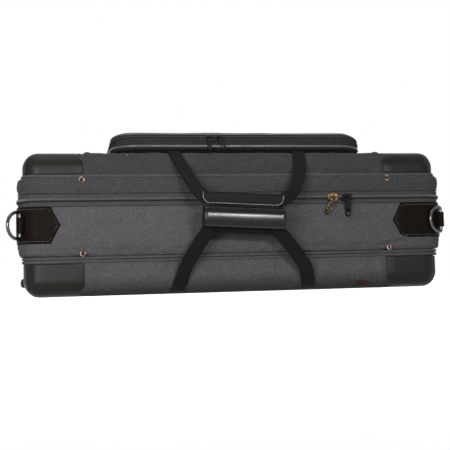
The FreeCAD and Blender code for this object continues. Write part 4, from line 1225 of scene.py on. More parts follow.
class CASE_OT_guards(CaseOperator, bpy.types.Operator):
    """Make the moulded corner guards, their rivets and the rubber feet"""

    bl_idname = "case.guards"
    bl_label = "Guards"

    def execute(self, context):
        for lid in (False, True):
            for sx, end in ((-1, "left"), (1, "right")):
                for sy, side in ((-1, "front"), (1, "back")):
                    self.guard(sx, sy, lid, "_".join(["lid" if lid else "tray", "guard", side, end]))
        for node, body in (("tray_rivets", "tray"), ("lid_rivets", "lid")):
            low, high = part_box(node)
            self.rivets(node, (low[2] + high[2]) / 2, body)
        self.feet()
        return {"FINISHED"}

    def guard(self, sx, sy, lid, name):
        """Shell over three faces: grids on a sharp corner, rounded over, then thickened."""
        radius = SHELL_ROUND + GUARD_PROUD
        core = np.array([GUARD_LEG + GUARD_PROUD - radius] * 2 + [radius])
        verts = []
        faces = []
        for face in ("broad", "front", "side"):
            grid = guard_grid(sx, sy, lid, face)
            rows, columns = grid.shape[:2]
            if face == "broad":
                grid[:, :, 0:2] += GUARD_PROUD * (grid[:, :, 0:2] / GUARD_LEG)
            base = len(verts)
            for point in grid.reshape(-1, 3):
                verts.append(self.trimmed(*self.rounded(point, core, radius)))
            for i in range(rows - 1):
                for j in range(columns - 1):
                    a = base + i * columns + j
                    faces.append((a, a + 1, a + columns + 1, a + columns))
        broad = TOP if lid else 0.0
        turn = -1 if lid else 1
        placed = []
        for x, y, z in verts:
            px = sx * (SHELL_X - GUARD_LEG + x)
            py = sy * (SHELL_Y - GUARD_LEG + y)
            placed.append((px, py, broad + turn * z))
        mesh = bpy.data.meshes.new(name)
        mesh.from_pydata(placed, [], faces)
        work = bmesh.new()
        work.from_mesh(mesh)
        bmesh.ops.remove_doubles(work, verts=work.verts, dist=0.0002)
        bmesh.ops.recalc_face_normals(work, faces=work.faces)
        middle = Vector((sx * (SHELL_X - 40 * MM), sy * (SHELL_Y - 40 * MM), broad + turn * 20 * MM))
        probe = max(work.faces, key=lambda f: (f.calc_center_median() - middle).length)
        if probe.normal.dot(probe.calc_center_median() - middle) < 0:
            bmesh.ops.reverse_faces(work, faces=work.faces)
        work.to_mesh(mesh)
        work.free()
        obj = bpy.data.objects.new(name, mesh)
        bpy.context.scene.collection.objects.link(obj)
        thick = obj.modifiers.new("wall", "SOLIDIFY")
        thick.thickness = GUARD_PLATE
        thick.offset = -1
        bevel = obj.modifiers.new("rim", "BEVEL")
        bevel.width = 0.7 * MM
        bevel.segments = 3
        bevel.limit_method = "ANGLE"
        bevel.angle_limit = math.radians(50)
        applied(obj)
        obj.data.polygons.foreach_set("use_smooth", [True] * len(obj.data.polygons))
        obj.data.materials.clear()
        obj.data.materials.append(FINISHES["guard_leatherette"])
        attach(obj, "lid" if lid else "tray")
        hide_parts("lid_guards" if lid else "tray_guards")

    def rounded(self, point, core, radius):
        """Point of the sharp corner moved onto the rounded one."""
        x, y, z = point
        cx, cy = min(x, core[0]), min(y, core[1])
        cz = max(z, core[2])
        away = Vector((x - cx, y - cy, z - cz))
        if away.length < 1e-9:
            return (x, y, z)
        away.normalize()
        return (cx + away.x * radius, cy + away.y * radius, cz + away.z * radius)

    def trimmed(self, x, y, z):
        """Point of a guard, with its free edges thinned and their top corners taken back."""
        top = 1 - ease(z, 2 * MM, 15 * MM)
        front = ease(y, GUARD_LEG - 26 * MM, GUARD_LEG - 4 * MM)
        side = ease(x, GUARD_LEG - 26 * MM, GUARD_LEG - 4 * MM)
        thin_x = 1.2 * MM * (1 - ease(y, 0.0, 9 * MM)) * side
        thin_y = 1.2 * MM * (1 - ease(x, 0.0, 9 * MM)) * front
        back_x = 7 * MM * top * front * (1 - x / GUARD_LEG)
        back_y = 7 * MM * top * side * (1 - y / GUARD_LEG)
        return (x + back_x - thin_x, y + back_y - thin_y, z)

    def rivets(self, node, level, body):
        """Tubular rivets: a rolled rim round a hollow whose shade is painted as a black core."""
        rim = [(4.0, 0.0), (4.1, 0.6), (3.8, 1.3), (3.2, 1.5), (2.6, 1.3), (2.3, 0.8)]
        core = [(2.4, 0.0), (2.4, 0.8), (1.6, 0.7), (1.1, 1.1), (0.4, 1.3)]
        for x in (-RIVET_X, RIVET_X):
            for y in (-1, 1):
                base = Vector((x, y * (BAND_Y + 0.5 * MM), level))
                side = "left" if x < 0 else "right"
                name = "_".join([node[:-1], "front" if y < 0 else "back", side])
                lathe(name, base, Vector((0, y, 0)), rim, body, "rivet_metal", (node,))
                # the black core is painted shade in the rivet's hollow
                lathe(name + "_core", base, Vector((0, y, 0)), core, body, "black_metal", slot="rivet_metal")

    def feet(self):
        low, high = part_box("end_feet")
        for y, side in ((low[1] + 6 * MM, "front"), (high[1] - 6 * MM, "back")):
            base = Vector((-SHELL_X - GUARD_PROUD + 0.2 * MM, y, (low[2] + high[2]) / 2))
            profile = [(6.0, 0.0), (6.0, 1.6), (5.6, 3.0), (4.6, 4.2), (3.0, 4.9), (1.0, 5.1)]
            lathe("end_foot_" + side, base, Vector((-1, 0, 0)), profile, "tray", "foot_rubber",
                  ("end_feet",))


def lathe(name, base, axis, profile, body, finish, stands_for=(), sides=24, **kw):
    """Turned form; the profile gives radius and height in millimetres, from its base."""
    turn = UP.rotation_difference(axis)
    rows = []
    for radius, height in profile:
        row = []
        for corner in range(sides):
            angle = 2 * math.pi * corner / sides
            local = Vector((radius * math.cos(angle), radius * math.sin(angle), height)) * MM
            row.append(tuple(base + turn @ local))
        rows.append(row)
    return put_grid(name, np.array(rows), body, finish, False, True, True,
                    stands_for=stands_for, **kw)


class CASE_OT_zip(CaseOperator, bpy.types.Operator):
    """Make the main zip's tapes and coils, and the fabric hinge behind"""

    bl_idname = "case.zip"
    bl_label = "Zip and Hinge"

    def execute(self, context):
        self.run = self.front_run()
        for body, turn, node in (("tray", -1, "tray_zip_half"), ("lid", 1, "lid_zip_half")):
            self.tape(body, turn, node)
            self.coil(body, turn)
        self.hinge()
        return {"FINISHED"}

    def front_run(self):
        """Indices of the ring from the left end's back, round the front, to the right end's back."""
        back = 0.1
        flat = ring(BAND_X, BAND_Y, BAND_ROUND)
        count = len(flat)
        left = [i for i in range(count) if flat[i][0] < -BAND_X + 1 * MM and flat[i][1] < back]
        right = [i for i in range(count) if flat[i][0] > BAND_X - 1 * MM and flat[i][1] < back]
        return min(left) - count, max(right) + 1

    def tape(self, body, turn, node):
        start, stop = self.run
        path, hints = ring_path(-1.5 * MM, PARTING, BAND_X, BAND_Y, BAND_ROUND, start, stop)
        top = TAPE_EDGE / MM
        outline = [(0.2, top), (1.3, top), (1.6, top - 0.4), (1.6, top - 1.6), (1.3, top - 2.4),
                   (1.1, top - 3.2), (1.2, 3.0), (1.2, 0.4), (-0.2, 0.4), (-0.2, top)]
        rows = []
        for out, rise in outline:
            row = []
            for point, hint in zip(path, hints):
                wave = 0.15 * MM * folds(point.x, point.y, rise, 90.0)
                row.append(tuple(point + hint * (out * MM + wave) + UP * (turn * rise * MM)))
            rows.append(row)
        grid = np.array(rows).transpose(1, 0, 2)
        put_grid(body + "_zip_tape", grid, body, "zip_tape", False, True, True,
                 slot="zip_coil", stands_for=(node,))

    def coil(self, body, turn):
        """Teeth of the coil: short loops that meet those of the other half."""
        start, stop = self.run
        path, hints = ring_path(0.0, PARTING, BAND_X, BAND_Y, BAND_ROUND, start, stop)
        run = [0.0]
        for a, b in zip(path, path[1:]):
            run.append(run[-1] + (b - a).length)
        places = np.array([tuple(p) for p in path])
        ups = np.array([tuple(h) for h in hints])
        pitch = self.sizes.tooth
        parts = []
        shift = 0.0 if turn > 0 else 0.5
        for index in range(int(run[-1] / pitch)):
            s = (index + shift) * pitch
            place = Vector([np.interp(s, run, places[:, k]) for k in range(3)])
            out = Vector([np.interp(s, run, ups[:, k]) for k in range(3)]).normalized()
            points = []
            tall = 0.72 if turn > 0 else 0.55
            for away, rise in ((-0.4, 3.2 * tall), (0.9, 3.0 * tall), (1.5, 1.7 * tall), (1.2, 0.3), (0.2, 0.15)):
                points.append(place + out * (away * MM) + UP * (turn * rise * MM))
            along = Vector((-out.y, out.x, 0))
            parts.append((tube_grid(points, 0.62 * MM, False, 6, along), False, True, True))
        # the tray half's coil takes the dark colour as painted shade
        put_many(body + "_zip_coil", parts, body, "zip_coil" if turn > 0 else "dark_coil", slot="zip_coil")

    def hinge(self):
        """One woven strip across the parting line at the back."""
        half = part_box("tray_hinge_leaf")[1][0]
        rows = []
        for rise in spread(-7.0, 7.0, 0.9):
            bow = 0.9 * bell_curve(rise, 3.0)
            row = []
            for x in spread(-half, half, 5 * MM):
                y = BAND_Y - 1.2 * MM + bow * MM + 0.1 * MM * folds(x, rise, 0, 60.0)
                row.append((x, y, PARTING + rise * MM))
            rows.append(row)
        outer = np.array(rows)
        inner = outer.copy()
        inner[:, :, 1] -= 1.1 * MM
        grid = np.concatenate([outer, inner[::-1]]).transpose(1, 0, 2)
        strip = put_grid("fabric_hinge", grid, None, "hinge_webbing", False, True, True,
                         stands_for=("tray_hinge_leaf", "lid_hinge_leaf"))
        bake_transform(strip)


class CASE_OT_patches(CaseOperator, bpy.types.Operator):
    """Make the stitched leather patches and the carrying rings"""

    bl_idname = "case.patches"
    bl_label = "Patches and Rings"

    def execute(self, context):
        for side, name in ((-1, "left"), (1, "right")):
            self.patch(side, name)
            self.ring(side, name)
        return {"FINISHED"}

    def outline(self, side):
        """Corners of the flat patch: run along the case from its point, and height."""
        tall = PATCH_TALL
        reach = PATCH_REACH[side] + BAND_ROUND * (math.pi / 2 - 1) + 32 * MM
        return [(0.0, 0.0), (12 * MM, -tall), (reach, -tall), (reach, tall), (12 * MM, tall)]

    def on_band(self, side, run, level, lift):
        """Point of the band's outside, by run from the patch's point towards the end."""
        start = BAND_X - PATCH_REACH[side]
        corner = BAND_X - BAND_ROUND
        x = start + run
        if x <= corner:
            place = Vector((x, -BAND_Y, level))
            out = Vector((0, -1, 0))
        else:
            arc = (x - corner) / (BAND_ROUND + lift)
            if arc < math.pi / 2:
                out = Vector((math.sin(arc), -math.cos(arc), 0))
                place = Vector((corner, -BAND_Y + BAND_ROUND, level)) + out * BAND_ROUND
            else:
                out = Vector((1, 0, 0))
                over = (x - corner) - (BAND_ROUND + lift) * math.pi / 2
                place = Vector((BAND_X, -BAND_Y + BAND_ROUND + over, level))
        place += out * lift
        if side < 0:
            place.x *= -1
            out.x *= -1
        return place, out

    def patch(self, side, name):
        corners = self.outline(side)
        length = corners[2][0]
        tall = corners[2][1] * -1
        columns = spread(0.0, length, 2.0 * MM)
        rows = 17
        tops = []
        for run in columns:
            half = tall * min(1.0, max(run, 0.3 * MM) / (12 * MM))
            line = []
            for row in range(rows):
                share = -1 + 2 * row / (rows - 1)
                border = min(half * (1 - abs(share)), run * 0.85, length - run)
                puff = 0.5 * MM * ease(border, 0.0, 2.2 * MM) - 0.45 * MM * bell_curve(border - 2.8 * MM, 0.8 * MM)
                puff += 0.35 * MM * ease(border, 4 * MM, 12 * MM)
                lift = GAP + 1.4 * MM + puff
                place, _ = self.on_band(side, run, PATCH_MIDDLE + share * half, lift)
                line.append(tuple(place))
            tops.append(line)
        bottoms = []
        for run in columns:
            half = tall * min(1.0, max(run, 0.3 * MM) / (12 * MM))
            line = []
            for row in range(rows):
                share = -1 + 2 * row / (rows - 1)
                place, _ = self.on_band(side, run, PATCH_MIDDLE + share * half, GAP)
                line.append(tuple(place))
            bottoms.append(line)
        grid = np.concatenate([np.array(tops), np.array(bottoms)[:, ::-1]], axis=1)
        put_grid(name + "_patch", grid, "tray", "patch_leather", False, True, True,
                 stands_for=(name + "_ring_patch",))
        self.seam(side, name, corners)
        self.keeper(side, name)

    def seam(self, side, name, corners):
        """Stitches a little inside the patch's edge."""
        inset = 3.0 * MM
        tall = PATCH_TALL - inset
        far = corners[2][0] - inset
        near = 12 * MM + inset * 0.7
        loop = [(inset * 1.3, 0.0), (near, -tall), (far, -tall), (far, tall), (near, tall), (inset * 1.3, 0.0)]
        parts = []
        for (r0, z0), (r1, z1) in zip(loop, loop[1:]):
            path = []
            hints = []
            for t in np.linspace(0, 1, 30):
                place, out = self.on_band(side, r0 + (r1 - r0) * t, PATCH_MIDDLE + z0 + (z1 - z0) * t,
                                          GAP + 1.6 * MM)
                path.append(place)
                hints.append(out)
            parts += stitch_parts(path, hints, 2.6 * MM, 1.0 * MM, self.sizes.thread)
        put_many(name + "_patch_stitches", parts, "tray", "thread", slot="patch_leather")

    def keeper(self, side, name):
        """Leather loop that holds the ring's bar."""
        pos = Vector(JOINTS[name + "_ring_swing"]["pos_m"])
        inward = Vector((-side, 1, 0)).normalized()
        across = Vector((inward.y, -inward.x, 0))
        rows = []
        outer = 4.4 * MM
        inner = 2.7 * MM
        outline = []
        for step in range(13):
            angle = math.pi * (-0.5 + step / 12)
            outline.append((-math.cos(angle), math.sin(angle)))
        for radius in (outer, inner):
            ring_points = [(a * radius, b * radius) for a, b in outline]
            tail = [(5.6 * MM, radius), (5.6 * MM, -radius)]
            rows.append(ring_points + tail)
        shape = rows[0][:13] + [rows[0][13], (rows[1][13][0], rows[1][13][1])] + rows[1][12::-1]
        shape += [(rows[1][14][0], rows[1][14][1]), rows[0][14]]
        levels = spread(-10 * MM, 10 * MM, 2.5 * MM)
        grid = []
        for level in levels:
            grid.append([tuple(pos + inward * a + across * b + UP * level) for a, b in shape])
        put_grid(name + "_ring_keeper", np.array(grid), "tray", "patch_leather", False, True, True)

    def ring(self, side, name):
        joint = JOINTS[name + "_ring_swing"]
        pos = Vector(joint["pos_m"])
        turn = math.radians(-153 if side > 0 else -130)
        out = Vector((math.cos(turn), math.sin(turn), 0))
        wire = 2.2 * MM
        bow = 19 * MM - wire
        leg = 5 * MM
        path = []
        for z in np.linspace(-bow + 3 * MM, bow - 3 * MM, 9):
            path.append(pos + UP * z)
        for step in range(1, 6):
            angle = math.radians(90 * step / 6)
            path.append(pos + UP * (bow - 3 * MM * (1 - math.sin(angle))) + out * (3 * MM * (1 - math.cos(angle))))
        path.append(pos + UP * bow + out * leg)
        for step in range(1, 24):
            angle = math.radians(180 * step / 24)
            path.append(pos + out * (leg + bow * math.sin(angle)) + UP * (bow * math.cos(angle)))
        path.append(pos - UP * bow + out * leg)
        for step in range(5, 0, -1):
            angle = math.radians(90 * step / 6)
            path.append(pos - UP * (bow - 3 * MM * (1 - math.sin(angle))) + out * (3 * MM * (1 - math.cos(angle))))
        flat = Vector((-out.y, out.x, 0))
        grid = tube_grid(path, wire, True, 14, flat)
        put_grid(name + "_carrying_ring", grid, name + "_d_ring", "ring_metal", True, True,
                 stands_for=(name + "_d_ring",))


EDGE_Y = -SHELL_Y + SHELL_ROUND
LIFT = GAP + STRAP_THICK / 2


def lid_edge(angle, x):
    """Middle of a strap on the lid's rounded front edge, and its outward direction."""
    a = math.radians(angle)
    out = Vector((0, -math.sin(a), math.cos(a)))
    return Vector((x, EDGE_Y, TOP - SHELL_ROUND)) + out * (SHELL_ROUND + LIFT), out


def tray_edge(angle, x, leave=62.0):
    """Middle of a strap that rises out of its groove on the tray's front lower edge."""
    a = math.radians(angle)
    out = Vector((0, -math.sin(a), -math.cos(a)))
    low = SHELL_ROUND - LIFT
    reach = low + (2 * LIFT) * angle / leave
    return Vector((x, EDGE_Y, SHELL_ROUND)) + out * reach, out


class CASE_OT_handle(CaseOperator, bpy.types.Operator):
    """Make the webbing straps, the leather flap and the padded roll"""

    bl_idname = "case.handle"
    bl_label = "Handle"

    upper_width = 16.5 * MM
    lower_width = 18 * MM

    upper_ways = {-1: [(1.0, 0.09, 0.08), (0.9, 0.28, 0.26), (0.8, 0.56, 0.55), (0.69, 0.84, 0.84)],
                  1: [(1.0, 0.09, 0.08), (0.96, 0.28, 0.26), (0.87, 0.56, 0.55), (0.72, 0.86, 0.85)]}
    lower_ways = {-1: [(1.0, 0.09, 0.09), (0.86, 0.28, 0.31), (0.7, 0.57, 0.65), (0.5, 0.86, 0.965)],
                  1: [(1.0, 0.09, 0.09), (0.9, 0.28, 0.31), (0.7, 0.57, 0.65), (0.46, 0.86, 0.965)]}

    def execute(self, context):
        flap_low, flap_high = 111.5 * MM, 126 * MM
        flap_middle = 117 * MM
        roll_middle = 94.6 * MM
        under_roll = roll_middle - 11 * MM
        for side, name in ((-1, "left"), (1, "right")):
            self.strap("upper_strap_" + name, side, True, flap_middle, 46 * MM)
            self.strap("lower_strap_" + name, side, False, under_roll, 34 * MM)
        self.flap(flap_low, flap_high)
        self.roll(roll_middle)
        # the strap under the roll is webbing darkened as painted shade
        middle = [self.tilted((GRIP_X + x, GRIP_Y, under_roll), under_roll) for x in spread(-36 * MM, 36 * MM, 4 * MM)]
        grid = strap_grid(middle, [Vector((0, -1, 0))] * len(middle), self.lower_width, STRAP_THICK * 0.7)
        put_grid("lower_strap_middle", grid, "lower_handle", "shaded_webbing", False, True, True,
                 slot="strap_webbing")
        return {"FINISHED"}

    def strap(self, name, side, upper, level, half_middle):
        x = (UPPER_ENDS if upper else LOWER_ENDS)[side]
        leave = 48.0 if upper else 62.0
        edge = lid_edge if upper else tray_edge
        first, out = edge(0, x)
        flat = first + Vector((0, 11 * MM if upper else 26 * MM, 0))
        points = [flat, (flat + first) / 2]
        hints = [out, out]
        ways = (self.upper_ways if upper else self.lower_ways)[side]
        lean = (1 - ways[1][0]) * 28 * MM
        for angle in np.linspace(0, leave, 6):
            place, out = edge(angle, x - side * lean * (angle / leave) ** 2)
            points.append(place)
            hints.append(out)
        hinge = points[-1]
        for across, stand, rise in ways:
            px = min(abs(x - GRIP_X) * across, abs(x - GRIP_X) - lean * 1.5) * side + GRIP_X
            goal = level - math.tan(GRIP_TILT) * (px - GRIP_X)
            points.append(Vector((px, hinge.y + (GRIP_Y - hinge.y) * stand,
                                  hinge.z + (goal - hinge.z) * rise)))
            hints.append(hints[7] * (1 - stand) + Vector((0, -1, 0)) * stand)
        px = GRIP_X + side * half_middle
        points.append(Vector((px, GRIP_Y, level - math.tan(GRIP_TILT) * (px - GRIP_X))))
        hints.append(Vector((0, -1, 0)))
        path = smooth_path(points, 2.5 * MM)
        guide = []
        known = [Vector(p) for p in points]
        for p in path:
            near = sorted(range(len(known)), key=lambda k: (known[k] - p).length)[:2]
            d0, d1 = [(known[k] - p).length + 1e-6 for k in near]
            guide.append((hints[near[0]] * d1 + hints[near[1]] * d0).normalized())
        for _ in range(6):
            guide = [guide[0]] + [(guide[i - 1] + guide[i] * 2 + guide[i + 1]).normalized()
                                  for i in range(1, len(guide) - 1)] + [guide[-1]]
        grid = strap_grid(path, guide, self.upper_width if upper else self.lower_width, STRAP_THICK * 0.8)
        nodes = ("upper_handle_anchors", "upper_handle_loop") if upper else ("lower_handle_anchors",
                                                                             "lower_handle_loop")
        obj = put_grid(name, grid, None, "strap_webbing", False, True, True, stands_for=nodes)
        along = (points[8] - points[6]).normalized()
        reach = 4 * MM
        tuple(hinge - along * reach)
        tuple(hinge + along * reach)
        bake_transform(obj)

    def tilted(self, point, level):
        """Point of the level grip, turned with the grip's tilt."""
        middle = Vector((GRIP_X, GRIP_Y, level))
        return middle + Matrix.Rotation(GRIP_TILT, 3, "Y") @ (Vector(point) - middle)

    def flap(self, low, high):
        """Leather panel with a folded U-shaped edge."""
        half = 52 * MM
        r = 9 * MM
        thick = 3.6 * MM
        level = (low + high) / 2
        rows = []
        columns = spread(-half, half, 2 * MM)
        for x in columns:
            over = max(0.0, abs(x) - (half - r))
            bottom = low + r - math.sqrt(max(r * r - over * over, 0.0))
            line = []
            for step in range(12):
                share = step / 11
                z = bottom + (high - bottom) * share
                bow = 0.3 * MM * math.sin(math.pi * share) + 0.4 * MM * folds(x, z, 0, 30.0)
                line.append((GRIP_X + x, GRIP_Y - thick / 2 - bow, z))
            for step in range(11, -1, -1):
                share = step / 11
                z = bottom + (high - bottom) * share
                line.append((GRIP_X + x, GRIP_Y + thick / 2 + 0.6 * MM, z))
            rows.append([tuple(self.tilted(p, level)) for p in line])
        put_grid("flap_panel", np.array(rows), "upper_handle", "flap_leather", False, True, True,
                 slot="grip_leather", stands_for=("grip_flap",))
        path = []
        for z in spread(high - 1 * MM, low + r, 2 * MM):
            path.append((GRIP_X - half, GRIP_Y, z))
        for step in range(1, 8):
            angle = math.radians(180 + 90 * step / 8)
            path.append((GRIP_X - half + r + r * math.cos(angle), GRIP_Y, low + r + r * math.sin(angle)))
        for x in spread(-half + r, half - r, 5 * MM):
            path.append((GRIP_X + x, GRIP_Y, low))
        for step in range(1, 8):
            angle = math.radians(270 + 90 * step / 8)
            path.append((GRIP_X + half - r + r * math.cos(angle), GRIP_Y, low + r + r * math.sin(angle)))
        for z in spread(low + r, high - 1 * MM, 2 * MM):
            path.append((GRIP_X + half, GRIP_Y, z))
        path = [self.tilted((x, y - 1.6 * MM, z + 0.6 * MM), level) for x, y, z in path]
        grid = tube_grid(path, 0.75 * MM, False, 10, Vector((0, -1, 0)))
        put_grid("flap_edge", grid, "upper_handle", "bright_piping", False, True, True, slot="grip_leather")

    def roll(self, level):
        """Oval padded roll with eased ends, a lengthwise fold and fine wrinkles."""
        half = 52 * MM
        rows = []
        for x in [-half, -half + 0.3 * MM, -half + 1.0 * MM, -half + 2.2 * MM] + \
                spread(-half + 4 * MM, half - 4 * MM, 2.5 * MM) + \
                [half - 2.2 * MM, half - 1.0 * MM, half - 0.3 * MM, half]:
            end = half - abs(x)
            share = 0.93 + 0.07 * math.sqrt(min(1.0, end / (2 * MM)))
            line = []
            for corner in range(40):
                angle = 2 * math.pi * corner / 40
                y = math.cos(angle)
                z = math.sin(angle)
                bow = (abs(y) ** 3.0 + abs(z) ** 3.0) ** (-1 / 3.0)
                wrinkle = 0.08 * MM * folds(x * 0.5, y * 0.02, z * 0.02, 70.0, 2.0)
                wrinkle += 0.15 * MM * folds(x, y * 0.01, z * 0.01, 26.0, 8.0)
                groove = 0.9 * MM * bell_curve(angle - math.radians(275), 0.10)
                ry = 14.7 * MM * share + wrinkle - groove
                rz = 13.9 * MM * share + wrinkle - groove
                point = (GRIP_X + x, GRIP_Y + y * bow * ry, level + z * bow * rz)
                line.append(tuple(self.tilted(point, level)))
            rows.append(line)
        obj = put_grid("grip_padded_roll", np.array(rows), "lower_handle", "grip_leather",
                       False, True, True, stands_for=("grip_roll",))


class CASE_OT_pocket(CaseOperator, bpy.types.Operator):
    """Make the soft pocket on the lid, with its zip and bright piping"""

    bl_idname = "case.pocket"
    bl_label = "Pocket"

    def execute(self, context):
        low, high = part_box("pocket_cover")
        self.half_x = (high[0] - low[0]) / 2 - 1.3 * MM
        self.half_y = (high[1] - low[1]) / 2 - 1.3 * MM
        self.middle = ((low[0] + high[0]) / 2, (low[1] + high[1]) / 2)
        self.round = 35 * MM
        self.base = TOP + GAP
        self.gusset()
        self.cover()
        self.cords()
        self.zip()
        return {"FINISHED"}

    def sag(self, x, y, z):
        """How far the slack right end and the left end sink."""
        share = ease(z, self.base, self.base + 26 * MM)
        along = x - self.middle[0]
        right = min(1.0, max(0.0, (along - 0.146) / 0.030))
        left = min(1.0, max(0.0, (-along - 0.152) / 0.024))
        slope = 5.0 * MM * right + 6.0 * MM * (1 - math.sqrt(1 - right * right))
        slope += 7.0 * MM * (1 - (1 - left ** 3) ** (1 / 3))
        return slope * share

    def placed(self, grid, folds_tall):
        square = normals_of(grid)
        if square[grid.shape[0] // 2, LONG // 2][1] > 0:
            square = -square
        for i in range(grid.shape[0]):
            for j in range(grid.shape[1]):
                x, y, z = grid[i, j]
                hills = folds_tall * (folds(x, y, z, 18.0, 6.0) + 0.5 * folds(x, y, z, 50.0, 2.0))
                grid[i, j] += square[i, j] * hills
                grid[i, j][2] -= self.sag(x, y, z)
        return grid

    def gusset(self):
        b = self.base
        outer = [(-6.0, 0.0), (-6.2, 2.0), (-6.2, 4.5), (-5.0, 6.2), (-2.5, 7.2), (-0.8, 8.0),
                 (-0.3, 9.5), (-0.6, 11.0), (-0.5, 12.2), (0.1, 13.6), (0.2, 15.5), (-0.2, 17.0), (-0.6, 18.2),
                 (-0.7, 19.5), (-0.4, 20.5)]
        inner = [(-2.2, 20.5), (-2.6, 15.0), (-3.0, 10.0), (-8.2, 8.8), (-8.8, 3.2)]
        rows = ringed([(o * MM, b + h * MM) for o, h in outer], self.half_x, self.half_y,
                      self.round, self.middle)
        rows = self.placed(rows, 0.5 * MM)
        inside = ringed([(o * MM, b + h * MM) for o, h in inner], self.half_x, self.half_y,
                        self.round, self.middle)
        for row in inside:
            for point in row:
                point[2] -= self.sag(*point)
        floor = ringed([(-inset, b + 3.0 * MM) for inset in spread(9 * MM, self.half_y - 4 * MM, 12 * MM)],
                       self.half_x, self.half_y, self.round, self.middle)
        under = ringed([(-inset, b) for inset in spread(self.half_y - 4 * MM, 9 * MM, 12 * MM)],
                       self.half_x, self.half_y, self.round, self.middle)
        whole = np.concatenate([under, rows, inside, floor])
        verts, faces, uvs = grid_mesh(whole, False, True, True)
        put("pocket_gusset_cloth", verts, faces, "lid", "pocket_nylon", uvs=uvs,
            stands_for=("pocket_gusset",))

    def cover(self):
        b = self.base
        outer = [(-2.4, 22.0), (-0.6, 22.0), (-0.2, 22.8), (-0.5, 24.0), (-0.7, 25.2), (-0.2, 26.4), (-0.9, 27.6),
                 (-2.2, 28.7), (-4.0, 29.4), (-6.0, 29.6)]
        for inset in spread(9.0, self.half_y / MM - 4.0, 6.0):
            outer.append((-inset, 29.7 - 0.6 * bell_curve(inset - 9.0, 4.0)))
        rows = ringed([(o * MM, b + h * MM) for o, h in outer], self.half_x, self.half_y,
                      self.round, self.middle)
        rows = self.placed(rows, 0.6 * MM)
        high = self.base + 29.7 * MM
        inner = [(-inset * MM, b + 27.0 * MM) for inset in spread(self.half_y / MM - 4.0, 7.0, 12.0)]
        inner += [(-3.4 * MM, b + 26.0 * MM), (-2.6 * MM, b + 24.0 * MM)]
        inside = ringed(inner, self.half_x, self.half_y, self.round, self.middle)
        for row in inside:
            for point in row:
                point[2] -= self.sag(*point)
        whole = np.concatenate([inside, rows])
        whole[:, :, 2] = np.minimum(whole[:, :, 2], high + 0.4 * MM)
        verts, faces, uvs = grid_mesh(whole, False, True, True)
        put("pocket_cover_cloth", verts, faces, "pocket_cover", "pocket_nylon", uvs=uvs,
            stands_for=("pocket_cover",))

    def loop(self, out, level):
        flat = ring(self.half_x + out, self.half_y + out, self.round + out, self.middle)
        path = []
        for x, y in flat:
            z = self.base + level
            wave = 0.25 * MM * folds(x, y, z, 30.0, 3.0)
            path.append(Vector((x, y, z - self.sag(x, y, z) + wave)))
        return path

    def cords(self):
        lower = tube_grid(self.loop(0.2 * MM, 10.6 * MM), 1.9 * MM, True, 10)
        put_grid("pocket_lower_piping", lower, "lid", "bright_piping", True, True, slot="seam_piping")
        upper = tube_grid(self.loop(-0.4 * MM, 27.2 * MM), 1.3 * MM, True, 10)
        put_grid("pocket_upper_piping", upper, "pocket_cover", "bright_piping", True, True, slot="seam_piping")

    def zip(self):
        """Tapes and coils of the pocket's zip."""
        for body, level, turn in (("lid", 20.2, 1), ("pocket_cover", 23.0, -1)):
            tape = tube_grid(self.loop(0.1 * MM, level * MM), 0.9 * MM, True, 8)
            name = "pocket_zip_lower" if body == "lid" else "pocket_zip_upper"
            put_grid(name, tape, body, "zip_tape", True, True, slot="zip_coil")
            path = self.loop(0.7 * MM, (level + turn * 0.8) * MM)
            path.append(path[0])
            hints = []
            for a, b in zip(path, path[1:] + [path[1]]):
                along = b - a
                hints.append(Vector((along.y, -along.x, 0)).normalized())
            run = [0.0]
            for a, b in zip(path, path[1:]):
                run.append(run[-1] + (b - a).length)
            places = np.array([tuple(p) for p in path])
            ups = np.array([tuple(h) for h in hints])
            parts = []
            pitch = self.sizes.tooth
            for index in range(int(run[-1] / pitch)):
                s = (index + (0.5 if turn > 0 else 0.0)) * pitch
                place = Vector([np.interp(s, run, places[:, k]) for k in range(3)])
                out = Vector([np.interp(s, run, ups[:, k]) for k in range(3)]).normalized()
                points = [place - out * 0.5 * MM + UP * (-turn * 0.9 * MM),
                          place + out * 0.4 * MM + UP * (-turn * 0.5 * MM),
                          place + out * 0.3 * MM + UP * (turn * 0.3 * MM)]
                along = Vector((-out.y, out.x, 0))
                parts.append((tube_grid(points, 0.45 * MM, False, 5, along), False, True, True))
            put_many(name + "_coil", parts, body, "dark_coil", slot="zip_coil")


class CASE_OT_inside(CaseOperator, bpy.types.Operator):
    """Make the plush linings, the fitted blocks and the stays"""

    bl_idname = "case.inside"
    bl_label = "Inside"

    def execute(self, context):
        softened("tray_plush_lining", "tray_lining", "tray", "lining_plush", 2.2 * MM, 3, 0.3 * MM)
        softened("lid_plush_lining", "lid_lining", "lid", "lining_plush", 2.2 * MM, 3, 0.3 * MM)
        for name in ("left_horn_block", "middle_horn_block", "right_horn_block", "mouthpiece_blocks"):
            softened("plush_" + name, name, "tray", "block_plush", 2.2 * MM, 5, 0.4 * MM)
        for side, name in ((-1, "left"), (1, "right")):
            self.stay(name)
        return {"FINISHED"}

    def stay(self, name):
        """Webbing folded up against the end lining, fixed in the tray and in the lid."""
        low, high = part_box(name + "_stay_strap")
        x = (low[0] + high[0]) / 2
        y = (low[1] + high[1]) / 2
        side = 1 if x > 0 else -1
        points = []
        hints = []
        for z in np.linspace(low[2], high[2], 26):
            t = (z - low[2]) / (high[2] - low[2])
            wave = -side * 1.2 * MM * math.sin(math.pi * t) * (1 + 0.4 * math.sin(6 * math.pi * t))
            points.append(Vector((x + wave, y, z)))
            hints.append(Vector((-side, 0, 0)))
        grid = strap_grid(points, hints, high[1] - low[1], 1.4 * MM)
        obj = put_grid(name + "_stay_webbing", grid, None, "strap_webbing", False, True, True,
                       stands_for=(name + "_stay_strap",))
        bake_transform(obj)


